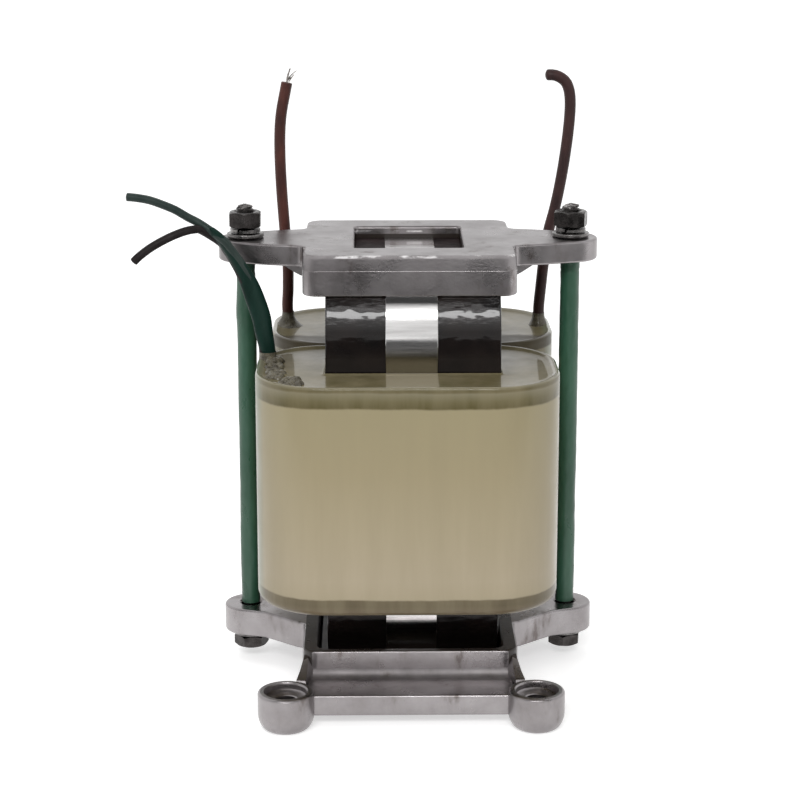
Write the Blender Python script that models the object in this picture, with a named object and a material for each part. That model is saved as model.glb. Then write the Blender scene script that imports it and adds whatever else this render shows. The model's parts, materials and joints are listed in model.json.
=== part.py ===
"""A high-voltage transformer: a wound cut core, two potted coils and two aluminium castings.

The core loop stands upright, with one leg in front and one behind. Each leg carries a coil.
A steel band is pulled round the core, and two long bolts pull the castings onto it.
"""

import math

import bmesh
import bpy
from mathutils import Matrix, Vector

# Lengths are in metres, X runs to the right, Y to the back, Z up, and the feet stand at Z = 0.
GAP = 0.0003
OVERRUN = 0.002
OVERLAP = 0.001

# The cut core, wound from thin strip, so that its corners are round outside.
CORE_WIDTH = 0.055
CORE_BUILD = 0.020
WINDOW_DEPTH = 0.035
WINDOW_HEIGHT = 0.090
CORE_INNER_RADIUS = 0.0015
CORE_SHIFT = 0.001
CORE_EDGE_BREAK = 0.0005
SHIM_THICKNESS = 0.0004
SHIM_INSET = 0.0005

# The steel band round the core, and the crimped seal that closes it underneath.
BAND_WIDTH = 0.0163
BAND_THICKNESS = 0.0005
BAND_SHIFT = -0.0005
BAND_SIDE_PLAY = 0.0012
SEAL_LENGTH = 0.020
SEAL_THICKNESS = 0.0008
SEAL_LIP_HEIGHT = 0.0008

# The lower casting: a tray for the core, a foot bar along the front and the back, and four lugs.
TRAY_UNDERSIDE = 0.0036
TRAY_FLOOR = 0.004
TRAY_HEIGHT = 0.0149
TRAY_CORNER = 0.005
TRAY_SIDE_WALL = 0.005
TRAY_END_WALL = 0.0028
TRAY_CORE_PLAY = 0.0008
TRAY_END_SPACE = 0.0067
TRAY_POCKET_CORNER = 0.003
CASTING_EDGE = 0.0006
FOOT_BAR_DEPTH = 0.0165
FOOT_BAR_HEIGHT = 0.0066
FOOT_FILLET = 0.0032
LUG_OUTSET = 0.0046
LUG_SETBACK = 0.0002
LUG_RADIUS = 0.0088
LUG_HEIGHT = 0.012
LUG_ROUND_HEIGHT = 0.0052
LUG_SOLE_RADIUS = 0.0056
LUG_RIM_BEVEL = 0.0006
LUG_WEB_FILLET = 0.005
LUG_WEB_STEP = 0.0004
COUNTERBORE_RADIUS = 0.0065
COUNTERBORE_DEPTH = 0.0026
LUG_HOLE_RADIUS = 0.00325

# The upper casting: a block with a curved cradle below, a window and a flush wing at each side.
TOP_SIDE_WALL = 0.0045
TOP_END_SETBACK = 0.0045
TOP_CORNER = 0.0045
TOP_PLATE = 0.0053
TOP_BLOCK_HEIGHT = 0.0123
TOP_SHOULDER_DROP = 0.0042
TOP_SHOULDER_INSET = 0.0022
CASTING_WINDOW = 0.035
CASTING_WINDOW_CORNER = 0.0012
CRADLE_SIDE_PLAY = 0.0007

# The wings that the bolts pass through.
BOLT_COIL_SPACE = 0.0054
WING_END_RADIUS = 0.0087
TOP_WING_THICKNESS = 0.007
TOP_WING_ROOT = 0.0135
TOP_WING_NECK_SETBACK = 0.0085
TOP_WING_NECK_HALF = 0.0118
TOP_WING_RAMP_LENGTH = 0.0065
TOP_WING_RAMP_DROP = 0.0034
BOTTOM_WING_THICKNESS = 0.0091
BOTTOM_WING_ROOT = 0.0200
BOTTOM_WING_NECK_SETBACK = 0.005
BOTTOM_WING_NECK_HALF = 0.0106
WING_ROOT_FILLET = 0.003
BOLT_HOLE_RADIUS = 0.0033

# The long bolts with their nuts, washers and shrunk-on sleeves.
SHANK_RADIUS = 0.0026
THREAD_RADIUS = 0.0029
THREAD_CHAMFER = 0.0006
BOLT_END_PROUD = 0.0022
HEX_ACROSS_FLATS = 0.010
HEX_CHAMFER_SHARE = 0.96
NUT_HEIGHT = 0.0052
HEAD_HEIGHT = 0.004
FLAT_WASHER_RADIUS = 0.006
FLAT_WASHER_THICKNESS = 0.0012
SPRING_WASHER_RADIUS = 0.0049
SPRING_WASHER_THICKNESS = 0.0013
SPRING_WASHER_SPLIT = 0.0007
LEFT_NUT_TURN = math.radians(30)
RIGHT_NUT_TURN = math.radians(15)
LEFT_HEAD_TURN = math.radians(8)
RIGHT_HEAD_TURN = math.radians(22)
SLEEVE_WALL = 0.00035
SLEEVE_END_PLAY = 0.0004

# The potted coils, one round each leg of the core.
COIL_SIDE_BUILD = 0.0201
COIL_FACE_BUILD = 0.0223
COIL_MIDDLE_GAP = 0.0012
COIL_CORNER = 0.0225
COIL_FOOT_SPACE = 0.0064
COIL_HEAD_SPACE = 0.0103
COIL_SHOULDER = 0.005
RESIN_TOP = 0.0059
RESIN_BOTTOM = 0.0059
RESIN_WALL = 0.0014
WINDING_EDGE = 0.0012
FORMER_SIDE_PLAY = 0.0008
FORMER_FACE_PLAY = 0.0013
FORMER_WALL = 0.0012
FORMER_CORNER = 0.0015
FRONT_COIL_SHIFT = -0.0008
REAR_COIL_SHIFT = 0.0018
PAD_LENGTH = 0.044
PAD_SIDE_INSET = 0.001
PAD_EDGE = 0.0008

# The leads, and the small collars of resin where they leave the coils.
HV_LEAD_RADIUS = 0.0019
HV_STRANDS_RADIUS = 0.0009
LV_SHEATH_RADIUS = 0.0027
LV_LEAD_RADIUS = 0.0012
COLLAR_SPREAD = 0.0016
COLLAR_HEIGHT = 0.0008
COLLAR_ROOT = 0.003
HV_COLLAR_LEFT_INSET = 0.0051
HV_COLLAR_RIGHT_INSET = 0.0038
HV_COLLAR_SETBACK = 0.0033
LV_COLLAR_INSET = 0.0031
LV_COLLAR_SETBACK = 0.0106
LEAD_STEP_DIAMETERS = 2

# The leads' routes, read along the photograph's own lines.
HV_LEFT_ROUTE = [
    (-0.0407, 0.0335, 0.1087),
    (-0.0407, 0.0335, 0.1102),
    (-0.0409, 0.0334, 0.1140),
    (-0.0406, 0.0332, 0.1200),
    (-0.0406, 0.0330, 0.1290),
    (-0.0414, 0.0330, 0.1390),
    (-0.0425, 0.0332, 0.1555),
    (-0.0429, 0.0336, 0.1690),
    (-0.0424, 0.0338, 0.1790),
    (-0.0406, 0.0338, 0.1888),
    (-0.0403, 0.0338, 0.1902),
]
HV_LEFT_STRANDS_ROUTE = [
    (-0.04022, 0.0338, 0.19055),
    (-0.0399, 0.0338, 0.1918),
    (-0.0393, 0.0337, 0.1938),
    (-0.0387, 0.0336, 0.1956),
]
HV_RIGHT_ROUTE = [
    (0.0456, 0.0335, 0.1087),
    (0.0456, 0.0335, 0.1102),
    (0.0457, 0.0335, 0.1140),
    (0.0462, 0.0334, 0.1195),
    (0.0471, 0.0332, 0.1288),
    (0.0486, 0.0331, 0.1394),
    (0.0504, 0.0332, 0.1465),
    (0.0521, 0.0334, 0.1545),
    (0.0538, 0.0336, 0.1650),
    (0.0551, 0.0337, 0.1765),
    (0.0553, 0.0337, 0.1850),
    (0.0540, 0.0337, 0.1900),
    (0.0512, 0.0336, 0.1923),
    (0.0490, 0.0336, 0.1928),
    (0.0478, 0.0336, 0.1928),
]
LV_SHEATH_ROUTE = [
    (-0.0453, -0.0196, 0.1087),
    (-0.0453, -0.0196, 0.1102),
    (-0.0457, -0.0197, 0.1125),
    (-0.0464, -0.0192, 0.1160),
    (-0.0472, -0.0182, 0.1205),
    (-0.0488, -0.0170, 0.1252),
    (-0.0509, -0.0158, 0.1306),
    (-0.0533, -0.0149, 0.1352),
    (-0.0558, -0.0143, 0.1393),
    (-0.0584, -0.0141, 0.1430),
    (-0.0608, -0.0142, 0.1459),
    (-0.0627, -0.0143, 0.1474),
    (-0.0637, -0.0144, 0.1481),
]
LV_GREEN_ROUTE = [
    (-0.06335, -0.0141, 0.15000),
    (-0.0650, -0.0140, 0.15060),
    (-0.0670, -0.0141, 0.1512),
    (-0.0703, -0.0144, 0.1524),
    (-0.0743, -0.0149, 0.1549),
    (-0.0785, -0.0155, 0.1568),
    (-0.0822, -0.0160, 0.1582),
    (-0.0859, -0.0165, 0.1590),
    (-0.0881, -0.0168, 0.1593),
    (-0.0895, -0.0170, 0.1594),
]
LV_DARK_ROUTE = [
    (-0.06505, -0.0148, 0.14755),
    (-0.0665, -0.0154, 0.14810),
    (-0.0685, -0.0163, 0.14830),
    (-0.0710, -0.0173, 0.14810),
    (-0.0743, -0.0183, 0.1474),
    (-0.0783, -0.0193, 0.1458),
    (-0.0820, -0.0200, 0.1437),
    (-0.0849, -0.0205, 0.1414),
    (-0.0861, -0.0208, 0.1404),
    (-0.0871, -0.0210, 0.1394),
]

# Faceting of round shapes.
CORNER_STEPS = 5
SMALL_STEPS = 3
ROUND_SIDES = 28
CORE_CORNER_STEPS = 12
CORNER_LIMIT_SHARE = 0.98
SMOOTH_ANGLE = math.radians(32)

# Heights and half sizes that follow from the values above.
CORE_HALF_DEPTH = WINDOW_DEPTH / 2 + CORE_BUILD
CORE_BOTTOM = TRAY_UNDERSIDE + TRAY_FLOOR + GAP
CORE_TOP = CORE_BOTTOM + WINDOW_HEIGHT + 2 * CORE_BUILD
CORE_MIDDLE = (CORE_BOTTOM + CORE_TOP) / 2
CORE_OUTER_RADIUS = CORE_INNER_RADIUS + CORE_BUILD
LEG_Y = WINDOW_DEPTH / 2 + CORE_BUILD / 2
BAND_OFFSET = GAP + BAND_THICKNESS
BAND_X = CORE_SHIFT + BAND_SHIFT
POCKET_HALF_WIDTH = CORE_WIDTH / 2 + CORE_SHIFT + TRAY_CORE_PLAY
POCKET_HALF_DEPTH = CORE_HALF_DEPTH + TRAY_END_SPACE
TRAY_HALF_WIDTH = POCKET_HALF_WIDTH + TRAY_SIDE_WALL
TRAY_HALF_DEPTH = POCKET_HALF_DEPTH + TRAY_END_WALL
TRAY_RIM = TRAY_UNDERSIDE + TRAY_HEIGHT
FOOT_BAR_REACH = TRAY_HALF_DEPTH + FOOT_BAR_DEPTH
LUG_X = TRAY_HALF_WIDTH + LUG_OUTSET
LUG_Y = FOOT_BAR_REACH - LUG_SETBACK
TOP_HALF_WIDTH = CORE_WIDTH / 2 + CORE_SHIFT + CRADLE_SIDE_PLAY + TOP_SIDE_WALL
TOP_HALF_DEPTH = CORE_HALF_DEPTH - TOP_END_SETBACK
TOP_FACE = CORE_TOP + GAP + TOP_PLATE
TOP_WING_UNDERSIDE = TOP_FACE - TOP_WING_THICKNESS
BOTTOM_WING_UNDERSIDE = TRAY_RIM - BOTTOM_WING_THICKNESS
COIL_HALF_WIDTH = CORE_WIDTH / 2 + COIL_SIDE_BUILD
COIL_FRONT = CORE_HALF_DEPTH + COIL_FACE_BUILD
COIL_HALF_DEPTH = (COIL_FRONT - COIL_MIDDLE_GAP / 2) / 2
COIL_Y = COIL_FRONT - COIL_HALF_DEPTH
COIL_BOTTOM = CORE_BOTTOM + CORE_BUILD + COIL_FOOT_SPACE
COIL_TOP = CORE_TOP - CORE_BUILD - COIL_HEAD_SPACE
BOLT_X = COIL_HALF_WIDTH + BOLT_COIL_SPACE
FORMER_HALF_WIDTH = CORE_WIDTH / 2 + FORMER_SIDE_PLAY + FORMER_WALL
FORMER_HALF_DEPTH = CORE_BUILD / 2 + FORMER_FACE_PLAY + FORMER_WALL


def clear_scene():
    for old in list(bpy.data.objects):
        bpy.data.objects.remove(old, do_unlink=True)


def material(name, colour, roughness, metallic):
    made = bpy.data.materials.new(name)
    made.use_nodes = True
    shader = made.node_tree.nodes["Principled BSDF"]
    shader.inputs["Base Color"].default_value = (*colour, 1)
    shader.inputs["Roughness"].default_value = roughness
    shader.inputs["Metallic"].default_value = metallic
    return made


def arc(centre, radius, start, end, steps):
    """Points of an arc in a plane, from the start angle to the end angle in degrees."""
    angles = [math.radians(start + (end - start) * i / steps) for i in range(steps + 1)]
    return [(centre[0] + radius * math.cos(a), centre[1] + radius * math.sin(a)) for a in angles]


def rounded_rectangle(half_a, half_b, radius, centre=(0, 0), steps=CORNER_STEPS):
    """A rectangle with round corners, with the same number of points at any size."""
    radius = min(radius, CORNER_LIMIT_SHARE * min(half_a, half_b))
    a, b = half_a - radius, half_b - radius
    corners = [(a, b, 0), (-a, b, 90), (-a, -b, 180), (a, -b, 270)]
    points = []
    for x, y, turn in corners:
        points += arc((centre[0] + x, centre[1] + y), radius, turn, turn + 90, steps)
    return points


def at_height(points, z):
    return [Vector((x, y, z)) for x, y in points]


def at_width(points, x):
    return [Vector((x, y, z)) for y, z in points]


def at_depth(points, y):
    return [Vector((x, y, z)) for x, z in points]


def finish(name, bm, made_of=None):
    """Closes the mesh, points its faces outwards and makes the object."""
    bmesh.ops.recalc_face_normals(bm, faces=bm.faces)
    mesh = bpy.data.meshes.new(name)
    bm.to_mesh(mesh)
    bm.free()
    mesh.shade_smooth()
    mesh.set_sharp_from_angle(angle=SMOOTH_ANGLE)
    piece = bpy.data.objects.new(name, mesh)
    bpy.context.scene.collection.objects.link(piece)
    if made_of is not None:
        mesh.materials.append(made_of)
    return piece


def loft(name, loops, made_of=None, ring=False):
    """Skins loops of equal length. A ring also joins the last loop to the first."""
    bm = bmesh.new()
    rows = [[bm.verts.new(point) for point in loop] for loop in loops]
    count = len(rows[0])
    pairs = list(zip(rows, rows[1:]))
    if ring:
        pairs.append((rows[-1], rows[0]))
    for low, high in pairs:
        for i in range(count):
            j = (i + 1) % count
            bm.faces.new((low[i], low[j], high[j], high[i]))
    if not ring:
        bm.faces.new(rows[0])
        bm.faces.new(rows[-1])
    return finish(name, bm, made_of)


def turned(name, profile, centre, made_of=None, sides=ROUND_SIDES):
    """Turns a profile of (radius, height) points about an upright axis through the centre."""
    bm = bmesh.new()
    rows = []
    for radius, z in profile:
        if radius == 0:
            rows.append([bm.verts.new((centre[0], centre[1], z))])
            continue
        row = arc(centre, radius, 0, 360 - 360 / sides, sides - 1)
        rows.append([bm.verts.new(point) for point in at_height(row, z)])
    closed = profile[0][0] > 0
    pairs = list(zip(rows, rows[1:]))
    if closed:
        pairs.append((rows[-1], rows[0]))
    for low, high in pairs:
        for i in range(sides):
            j = (i + 1) % sides
            ends = [low[i % len(low)], low[j % len(low)], high[j % len(high)], high[i % len(high)]]
            corners = [v for k, v in enumerate(ends) if v not in ends[:k]]
            bm.faces.new(corners)
    return finish(name, bm, made_of)


def helper(piece):
    """Marks an object that only cuts or joins another."""
    piece.hide_render = True
    piece.display_type = "WIRE"
    return piece


def combine(piece, others, operation):
    """One Boolean step with all of its helpers, which are kept in a collection of their own."""
    group = bpy.data.collections.new(f"{piece.name}_{operation.lower()}")
    bpy.context.scene.collection.children.link(group)
    for other in others:
        bpy.context.scene.collection.objects.unlink(helper(other))
        group.objects.link(other)
    step = piece.modifiers.new(operation.lower(), "BOOLEAN")
    step.operation = operation
    step.operand_type = "COLLECTION"
    step.collection = group
    step.solver = "EXACT"


def join(piece, *others):
    combine(piece, others, "UNION")


def cut(piece, *others):
    combine(piece, others, "DIFFERENCE")


def break_edges(piece, width, segments=1):
    step = piece.modifiers.new("edge_break", "BEVEL")
    step.width = width
    step.segments = segments
    step.limit_method = "ANGLE"
    step.angle_limit = math.radians(50)


def core_outline(offset):
    """The core loop's outer outline in Y and Z, grown by an offset."""
    half_height = (CORE_TOP - CORE_BOTTOM) / 2
    return rounded_rectangle(
        CORE_HALF_DEPTH + offset,
        half_height + offset,
        CORE_OUTER_RADIUS + offset,
        (0, CORE_MIDDLE),
        CORE_CORNER_STEPS,
    )


def wing_plan(root_x, root_half, neck_setback, neck_half):
    """Both wings in plan as one strip, from one round end to the other."""
    side = [(root_x - OVERRUN, root_half + WING_ROOT_FILLET)]
    side += arc(
        (root_x + WING_ROOT_FILLET, root_half + WING_ROOT_FILLET),
        WING_ROOT_FILLET,
        180,
        262,
        SMALL_STEPS,
    )
    side.append((BOLT_X - neck_setback, neck_half))
    side += arc((BOLT_X, 0), WING_END_RADIUS, 76, 0, CORNER_STEPS)
    back = [(x, -y) for x, y in reversed(side[:-1])]
    right = side + back
    left = [(-x, -y) for x, y in right]
    return right + left


def bolt_hole(name, x, y, radius, low, high):
    return turned(name, [(0, low), (radius, low), (radius, high), (0, high)], (x, y))


def build_core(black):
    """The strip core, cut across both legs into two U halves with a shim in each cut."""
    half_width = CORE_WIDTH / 2
    cut_half = SHIM_THICKNESS / 2 + GAP
    inner_half = WINDOW_DEPTH / 2
    arch = []
    edge = CORE_TOP - CORE_OUTER_RADIUS
    outer_y = CORE_HALF_DEPTH - CORE_OUTER_RADIUS
    inner_top = CORE_TOP - CORE_BUILD - CORE_INNER_RADIUS
    inner_y = inner_half - CORE_INNER_RADIUS
    arch.append((CORE_HALF_DEPTH, CORE_MIDDLE + cut_half))
    arch += arc((outer_y, edge), CORE_OUTER_RADIUS, 0, 90, CORE_CORNER_STEPS)
    arch += arc((-outer_y, edge), CORE_OUTER_RADIUS, 90, 180, CORE_CORNER_STEPS)
    arch.append((-CORE_HALF_DEPTH, CORE_MIDDLE + cut_half))
    arch.append((-inner_half, CORE_MIDDLE + cut_half))
    arch += arc((-inner_y, inner_top), CORE_INNER_RADIUS, 180, 90, SMALL_STEPS)
    arch += arc((inner_y, inner_top), CORE_INNER_RADIUS, 90, 0, SMALL_STEPS)
    arch.append((inner_half, CORE_MIDDLE + cut_half))
    for name, turned_over in (("core_upper", False), ("core_lower", True)):
        points = [(y, 2 * CORE_MIDDLE - z if turned_over else z) for y, z in arch]
        ends = [CORE_SHIFT - half_width, CORE_SHIFT + half_width]
        half = loft(name, [at_width(points, x) for x in ends], black)
        break_edges(half, CORE_EDGE_BREAK)


def build_shims(paper):
    for name, y in (("gap_shim_front", -LEG_Y), ("gap_shim_rear", LEG_Y)):
        plan = rounded_rectangle(
            CORE_WIDTH / 2 - SHIM_INSET,
            CORE_BUILD / 2 - SHIM_INSET,
            SHIM_INSET,
            (CORE_SHIFT, y),
            SMALL_STEPS,
        )
        faces = [CORE_MIDDLE - SHIM_THICKNESS / 2, CORE_MIDDLE + SHIM_THICKNESS / 2]
        loft(name, [at_height(plan, z) for z in faces], paper)


def build_band(steel):
    """The band lies on the core all round, and a folded seal grips it below."""
    left, right = BAND_X - BAND_WIDTH / 2, BAND_X + BAND_WIDTH / 2
    inside, outside = core_outline(GAP), core_outline(BAND_OFFSET)
    corners = [(inside, left), (inside, right), (outside, right), (outside, left)]
    loft("core_band", [at_width(outline, x) for outline, x in corners], steel, ring=True)
    under = CORE_BOTTOM - BAND_OFFSET - GAP
    half = BAND_WIDTH / 2 + GAP
    outer_half = half + SEAL_THICKNESS
    lip = under + SEAL_LIP_HEIGHT
    bottom = under - SEAL_THICKNESS
    section = [(-outer_half, bottom), (outer_half, bottom), (outer_half, lip), (half, lip)]
    section += [(half, under), (-half, under), (-half, lip), (-outer_half, lip)]
    section = [(BAND_X + x, z) for x, z in section]
    loft("band_seal", [at_depth(section, y) for y in (-SEAL_LENGTH / 2, SEAL_LENGTH / 2)], steel)


def band_groove(name, low, high):
    """A cutter for the room that the band needs in a casting."""
    half = BAND_WIDTH / 2 + BAND_SIDE_PLAY
    outline = core_outline(BAND_OFFSET + GAP)
    points = [(y, min(max(z, low), high)) for y, z in outline]
    kept = [p for i, p in enumerate(points) if p != points[i - 1]]
    return loft(name, [at_width(kept, BAND_X - half), at_width(kept, BAND_X + half)])


def casting_window(name, low, high):
    half = CASTING_WINDOW / 2
    plan = rounded_rectangle(half, half, CASTING_WINDOW_CORNER, (0, 0), SMALL_STEPS)
    return loft(name, [at_height(plan, low), at_height(plan, high)])


def wings(name, plan, low, high):
    plate = loft(name, [at_height(plan, low), at_height(plan, high)])
    break_edges(plate, CASTING_EDGE, 2)
    return plate


def build_top_clamp(aluminium):
    """The block's underside is hollowed to the core's round corners, so it centres the core."""
    underside = TOP_FACE - TOP_BLOCK_HEIGHT
    levels = [
        (CASTING_EDGE, underside),
        (0, underside + CASTING_EDGE),
        (0, TOP_FACE - TOP_SHOULDER_DROP),
        (TOP_SHOULDER_INSET / 2, TOP_FACE - CASTING_EDGE),
        (TOP_SHOULDER_INSET, TOP_FACE),
    ]
    loops = []
    for inset, z in levels:
        half_width, half_depth = TOP_HALF_WIDTH - inset, TOP_HALF_DEPTH - inset
        loops.append(at_height(rounded_rectangle(half_width, half_depth, TOP_CORNER - inset), z))
    block = loft("top_clamp", loops, aluminium)
    plan = wing_plan(TOP_HALF_WIDTH, TOP_WING_ROOT, TOP_WING_NECK_SETBACK, TOP_WING_NECK_HALF)
    added = [wings("top_wings", plan, TOP_WING_UNDERSIDE, TOP_FACE)]
    for side, way in (("left", -1), ("right", 1)):
        ramp = [
            (way * (TOP_HALF_WIDTH - OVERRUN), TOP_WING_UNDERSIDE + OVERLAP),
            (way * (TOP_HALF_WIDTH - OVERRUN), TOP_WING_UNDERSIDE - TOP_WING_RAMP_DROP),
            (way * (TOP_HALF_WIDTH + OVERLAP), TOP_WING_UNDERSIDE - TOP_WING_RAMP_DROP),
            (way * (TOP_HALF_WIDTH + TOP_WING_RAMP_LENGTH), TOP_WING_UNDERSIDE),
            (way * (TOP_HALF_WIDTH + TOP_WING_RAMP_LENGTH), TOP_WING_UNDERSIDE + OVERLAP),
        ]
        reach = TOP_WING_NECK_HALF - CASTING_EDGE
        added.append(loft(f"top_ramp_{side}", [at_depth(ramp, y) for y in (-reach, reach)]))
    join(block, *added)
    cradle = core_outline(GAP)
    half = CORE_WIDTH / 2 + CRADLE_SIDE_PLAY
    sides = [CORE_SHIFT - half, CORE_SHIFT + half]
    low, high = TOP_WING_UNDERSIDE - OVERRUN, TOP_FACE + OVERRUN
    cut(
        block,
        loft("cradle_cutter", [at_width(cradle, x) for x in sides]),
        band_groove("top_groove_cutter", CORE_MIDDLE, TOP_FACE),
        casting_window("top_window_cutter", CORE_MIDDLE, TOP_FACE + OVERRUN),
        bolt_hole("top_hole_left", -BOLT_X, 0, BOLT_HOLE_RADIUS, low, high),
        bolt_hole("top_hole_right", BOLT_X, 0, BOLT_HOLE_RADIUS, low, high),
    )


def lug(name, x, y):
    """A lug that is flat on top and round below."""
    sole = LUG_RADIUS - LUG_SOLE_RADIUS
    profile = [(0, 0)]
    profile += [
        (LUG_SOLE_RADIUS + sole * math.sin(a), LUG_ROUND_HEIGHT * (1 - math.cos(a)))
        for a in (math.radians(90 * i / CORNER_STEPS) for i in range(CORNER_STEPS + 1))
    ]
    profile.append((LUG_RADIUS, LUG_HEIGHT - LUG_RIM_BEVEL))
    profile.append((LUG_RADIUS - LUG_RIM_BEVEL, LUG_HEIGHT))
    profile.append((0, LUG_HEIGHT))
    return turned(name, profile, (x, y))


def lug_cutter(name, x, y):
    seat = LUG_HEIGHT - COUNTERBORE_DEPTH
    profile = [
        (0, -OVERRUN),
        (LUG_HOLE_RADIUS, -OVERRUN),
        (LUG_HOLE_RADIUS, seat),
        (COUNTERBORE_RADIUS, seat),
        (COUNTERBORE_RADIUS, LUG_HEIGHT + OVERRUN),
        (0, LUG_HEIGHT + OVERRUN),
    ]
    return turned(name, profile, (x, y))


def lug_web(name, way_x, way_y):
    """The fillet in plan between the tray's side and a lug."""
    centre_x = TRAY_HALF_WIDTH + LUG_WEB_FILLET
    reach = LUG_RADIUS + LUG_WEB_FILLET
    centre_y = LUG_Y - math.sqrt(reach**2 - (centre_x - LUG_X) ** 2)
    turn = math.degrees(math.atan2(LUG_Y - centre_y, LUG_X - centre_x))
    plan = arc((centre_x, centre_y), LUG_WEB_FILLET, 180, turn, SMALL_STEPS)
    inner_x = TRAY_HALF_WIDTH - LUG_RADIUS
    plan += [(LUG_X, LUG_Y), (inner_x, LUG_Y), (inner_x, centre_y)]
    plan = [(way_x * x, way_y * y) for x, y in plan]
    low = TRAY_UNDERSIDE + LUG_WEB_STEP
    high = TRAY_UNDERSIDE + FOOT_BAR_HEIGHT - LUG_WEB_STEP
    return loft(name, [at_height(plan, low), at_height(plan, high)])


def foot_bar(name, way):
    """A bar from lug to lug, with a hollow fillet up to the tray's end wall."""
    top = TRAY_UNDERSIDE + FOOT_BAR_HEIGHT
    section = [
        (TRAY_HALF_DEPTH - OVERRUN, TRAY_UNDERSIDE),
        (FOOT_BAR_REACH - CASTING_EDGE, TRAY_UNDERSIDE),
        (FOOT_BAR_REACH, TRAY_UNDERSIDE + CASTING_EDGE),
        (FOOT_BAR_REACH, top - CASTING_EDGE),
        (FOOT_BAR_REACH - CASTING_EDGE, top),
    ]
    centre = (TRAY_HALF_DEPTH + FOOT_FILLET, top + FOOT_FILLET)
    section += arc(centre, FOOT_FILLET, 270, 180, CORNER_STEPS)
    section.append((TRAY_HALF_DEPTH - OVERRUN, top + FOOT_FILLET))
    section = [(way * y, z) for y, z in section]
    half = TRAY_HALF_WIDTH - TRAY_CORNER / 2
    return loft(name, [at_width(section, x) for x in (-half, half)])


def build_bottom_clamp(aluminium):
    """The tray holds the core's foot, and its lugs are counterbored for the fixing screws."""
    levels = [
        (CASTING_EDGE, TRAY_UNDERSIDE),
        (0, TRAY_UNDERSIDE + CASTING_EDGE),
        (0, TRAY_RIM - CASTING_EDGE),
        (CASTING_EDGE, TRAY_RIM),
    ]
    loops = []
    for inset, z in levels:
        half_width, half_depth = TRAY_HALF_WIDTH - inset, TRAY_HALF_DEPTH - inset
        loops.append(at_height(rounded_rectangle(half_width, half_depth, TRAY_CORNER - inset), z))
    tray = loft("bottom_clamp", loops, aluminium)
    plan = wing_plan(
        TRAY_HALF_WIDTH, BOTTOM_WING_ROOT, BOTTOM_WING_NECK_SETBACK, BOTTOM_WING_NECK_HALF
    )
    added = [wings("bottom_wings", plan, BOTTOM_WING_UNDERSIDE, TRAY_RIM)]
    added += [foot_bar("foot_bar_front", -1), foot_bar("foot_bar_rear", 1)]
    corners = [
        ("front_left", -1, -1),
        ("front_right", 1, -1),
        ("rear_left", -1, 1),
        ("rear_right", 1, 1),
    ]
    for corner, way_x, way_y in corners:
        added.append(lug_web(f"web_{corner}", way_x, way_y))
        added.append(lug(f"lug_{corner}", way_x * LUG_X, way_y * LUG_Y))
    join(tray, *added)
    floor = TRAY_UNDERSIDE + TRAY_FLOOR
    pocket = rounded_rectangle(
        POCKET_HALF_WIDTH, POCKET_HALF_DEPTH, TRAY_POCKET_CORNER, (0, 0), SMALL_STEPS
    )
    low, high = BOTTOM_WING_UNDERSIDE - OVERRUN, TRAY_RIM + OVERRUN
    removed = [
        loft("pocket_cutter", [at_height(pocket, floor), at_height(pocket, TRAY_RIM + OVERRUN)]),
        band_groove("bottom_groove_cutter", TRAY_UNDERSIDE, CORE_MIDDLE),
        casting_window("bottom_window_cutter", TRAY_UNDERSIDE - OVERRUN, CORE_MIDDLE),
        bolt_hole("bottom_hole_left", -BOLT_X, 0, BOLT_HOLE_RADIUS, low, high),
        bolt_hole("bottom_hole_right", BOLT_X, 0, BOLT_HOLE_RADIUS, low, high),
    ]
    for corner, way_x, way_y in corners:
        removed.append(lug_cutter(f"counterbore_{corner}", way_x * LUG_X, way_y * LUG_Y))
    cut(tray, *removed)


def hexagon(name, x, low, high, turn, made_of):
    """A hexagon with its six corners turned off at both ends."""
    corner_radius = HEX_ACROSS_FLATS / 2 / math.cos(math.radians(30))
    corners = arc((x, 0), corner_radius, 0, 300, 5)
    spin = Matrix.Rotation(turn, 4, "Z")
    points = [spin @ Vector((px - x, py, 0)) for px, py in corners]
    plan = [(p.x + x, p.y) for p in points]
    piece = loft(name, [at_height(plan, low), at_height(plan, high)], made_of)
    flat = HEX_ACROSS_FLATS / 2 * HEX_CHAMFER_SHARE
    drop = (corner_radius - flat) * math.tan(math.radians(30))
    profile = [(0, low), (flat, low), (corner_radius, low + drop)]
    profile += [(corner_radius, high - drop), (flat, high), (0, high)]
    combine(piece, [turned(f"{name}_blank", profile, (x, 0))], "INTERSECT")
    return piece


def ring(name, x, inner, outer, low, high, made_of):
    profile = [(inner, low), (outer, low), (outer, high), (inner, high)]
    return turned(name, profile, (x, 0), made_of)


def spring_washer(name, x, low, made_of):
    """A ring split at one side, with its two ends slightly sprung apart."""
    inner, outer = THREAD_RADIUS + GAP, SPRING_WASHER_RADIUS
    split = math.degrees(SPRING_WASHER_SPLIT / SPRING_WASHER_RADIUS)
    inner_row = arc((x, 0), inner, split, 360, ROUND_SIDES)
    outer_row = arc((x, 0), outer, split, 360, ROUND_SIDES)
    high = low + SPRING_WASHER_THICKNESS
    loops = []
    for a, b in zip(inner_row, outer_row):
        corners = [(a, low), (b, low), (b, high), (a, high)]
        loops.append([Vector((*p, z)) for p, z in corners])
    return loft(name, loops, made_of)


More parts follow.
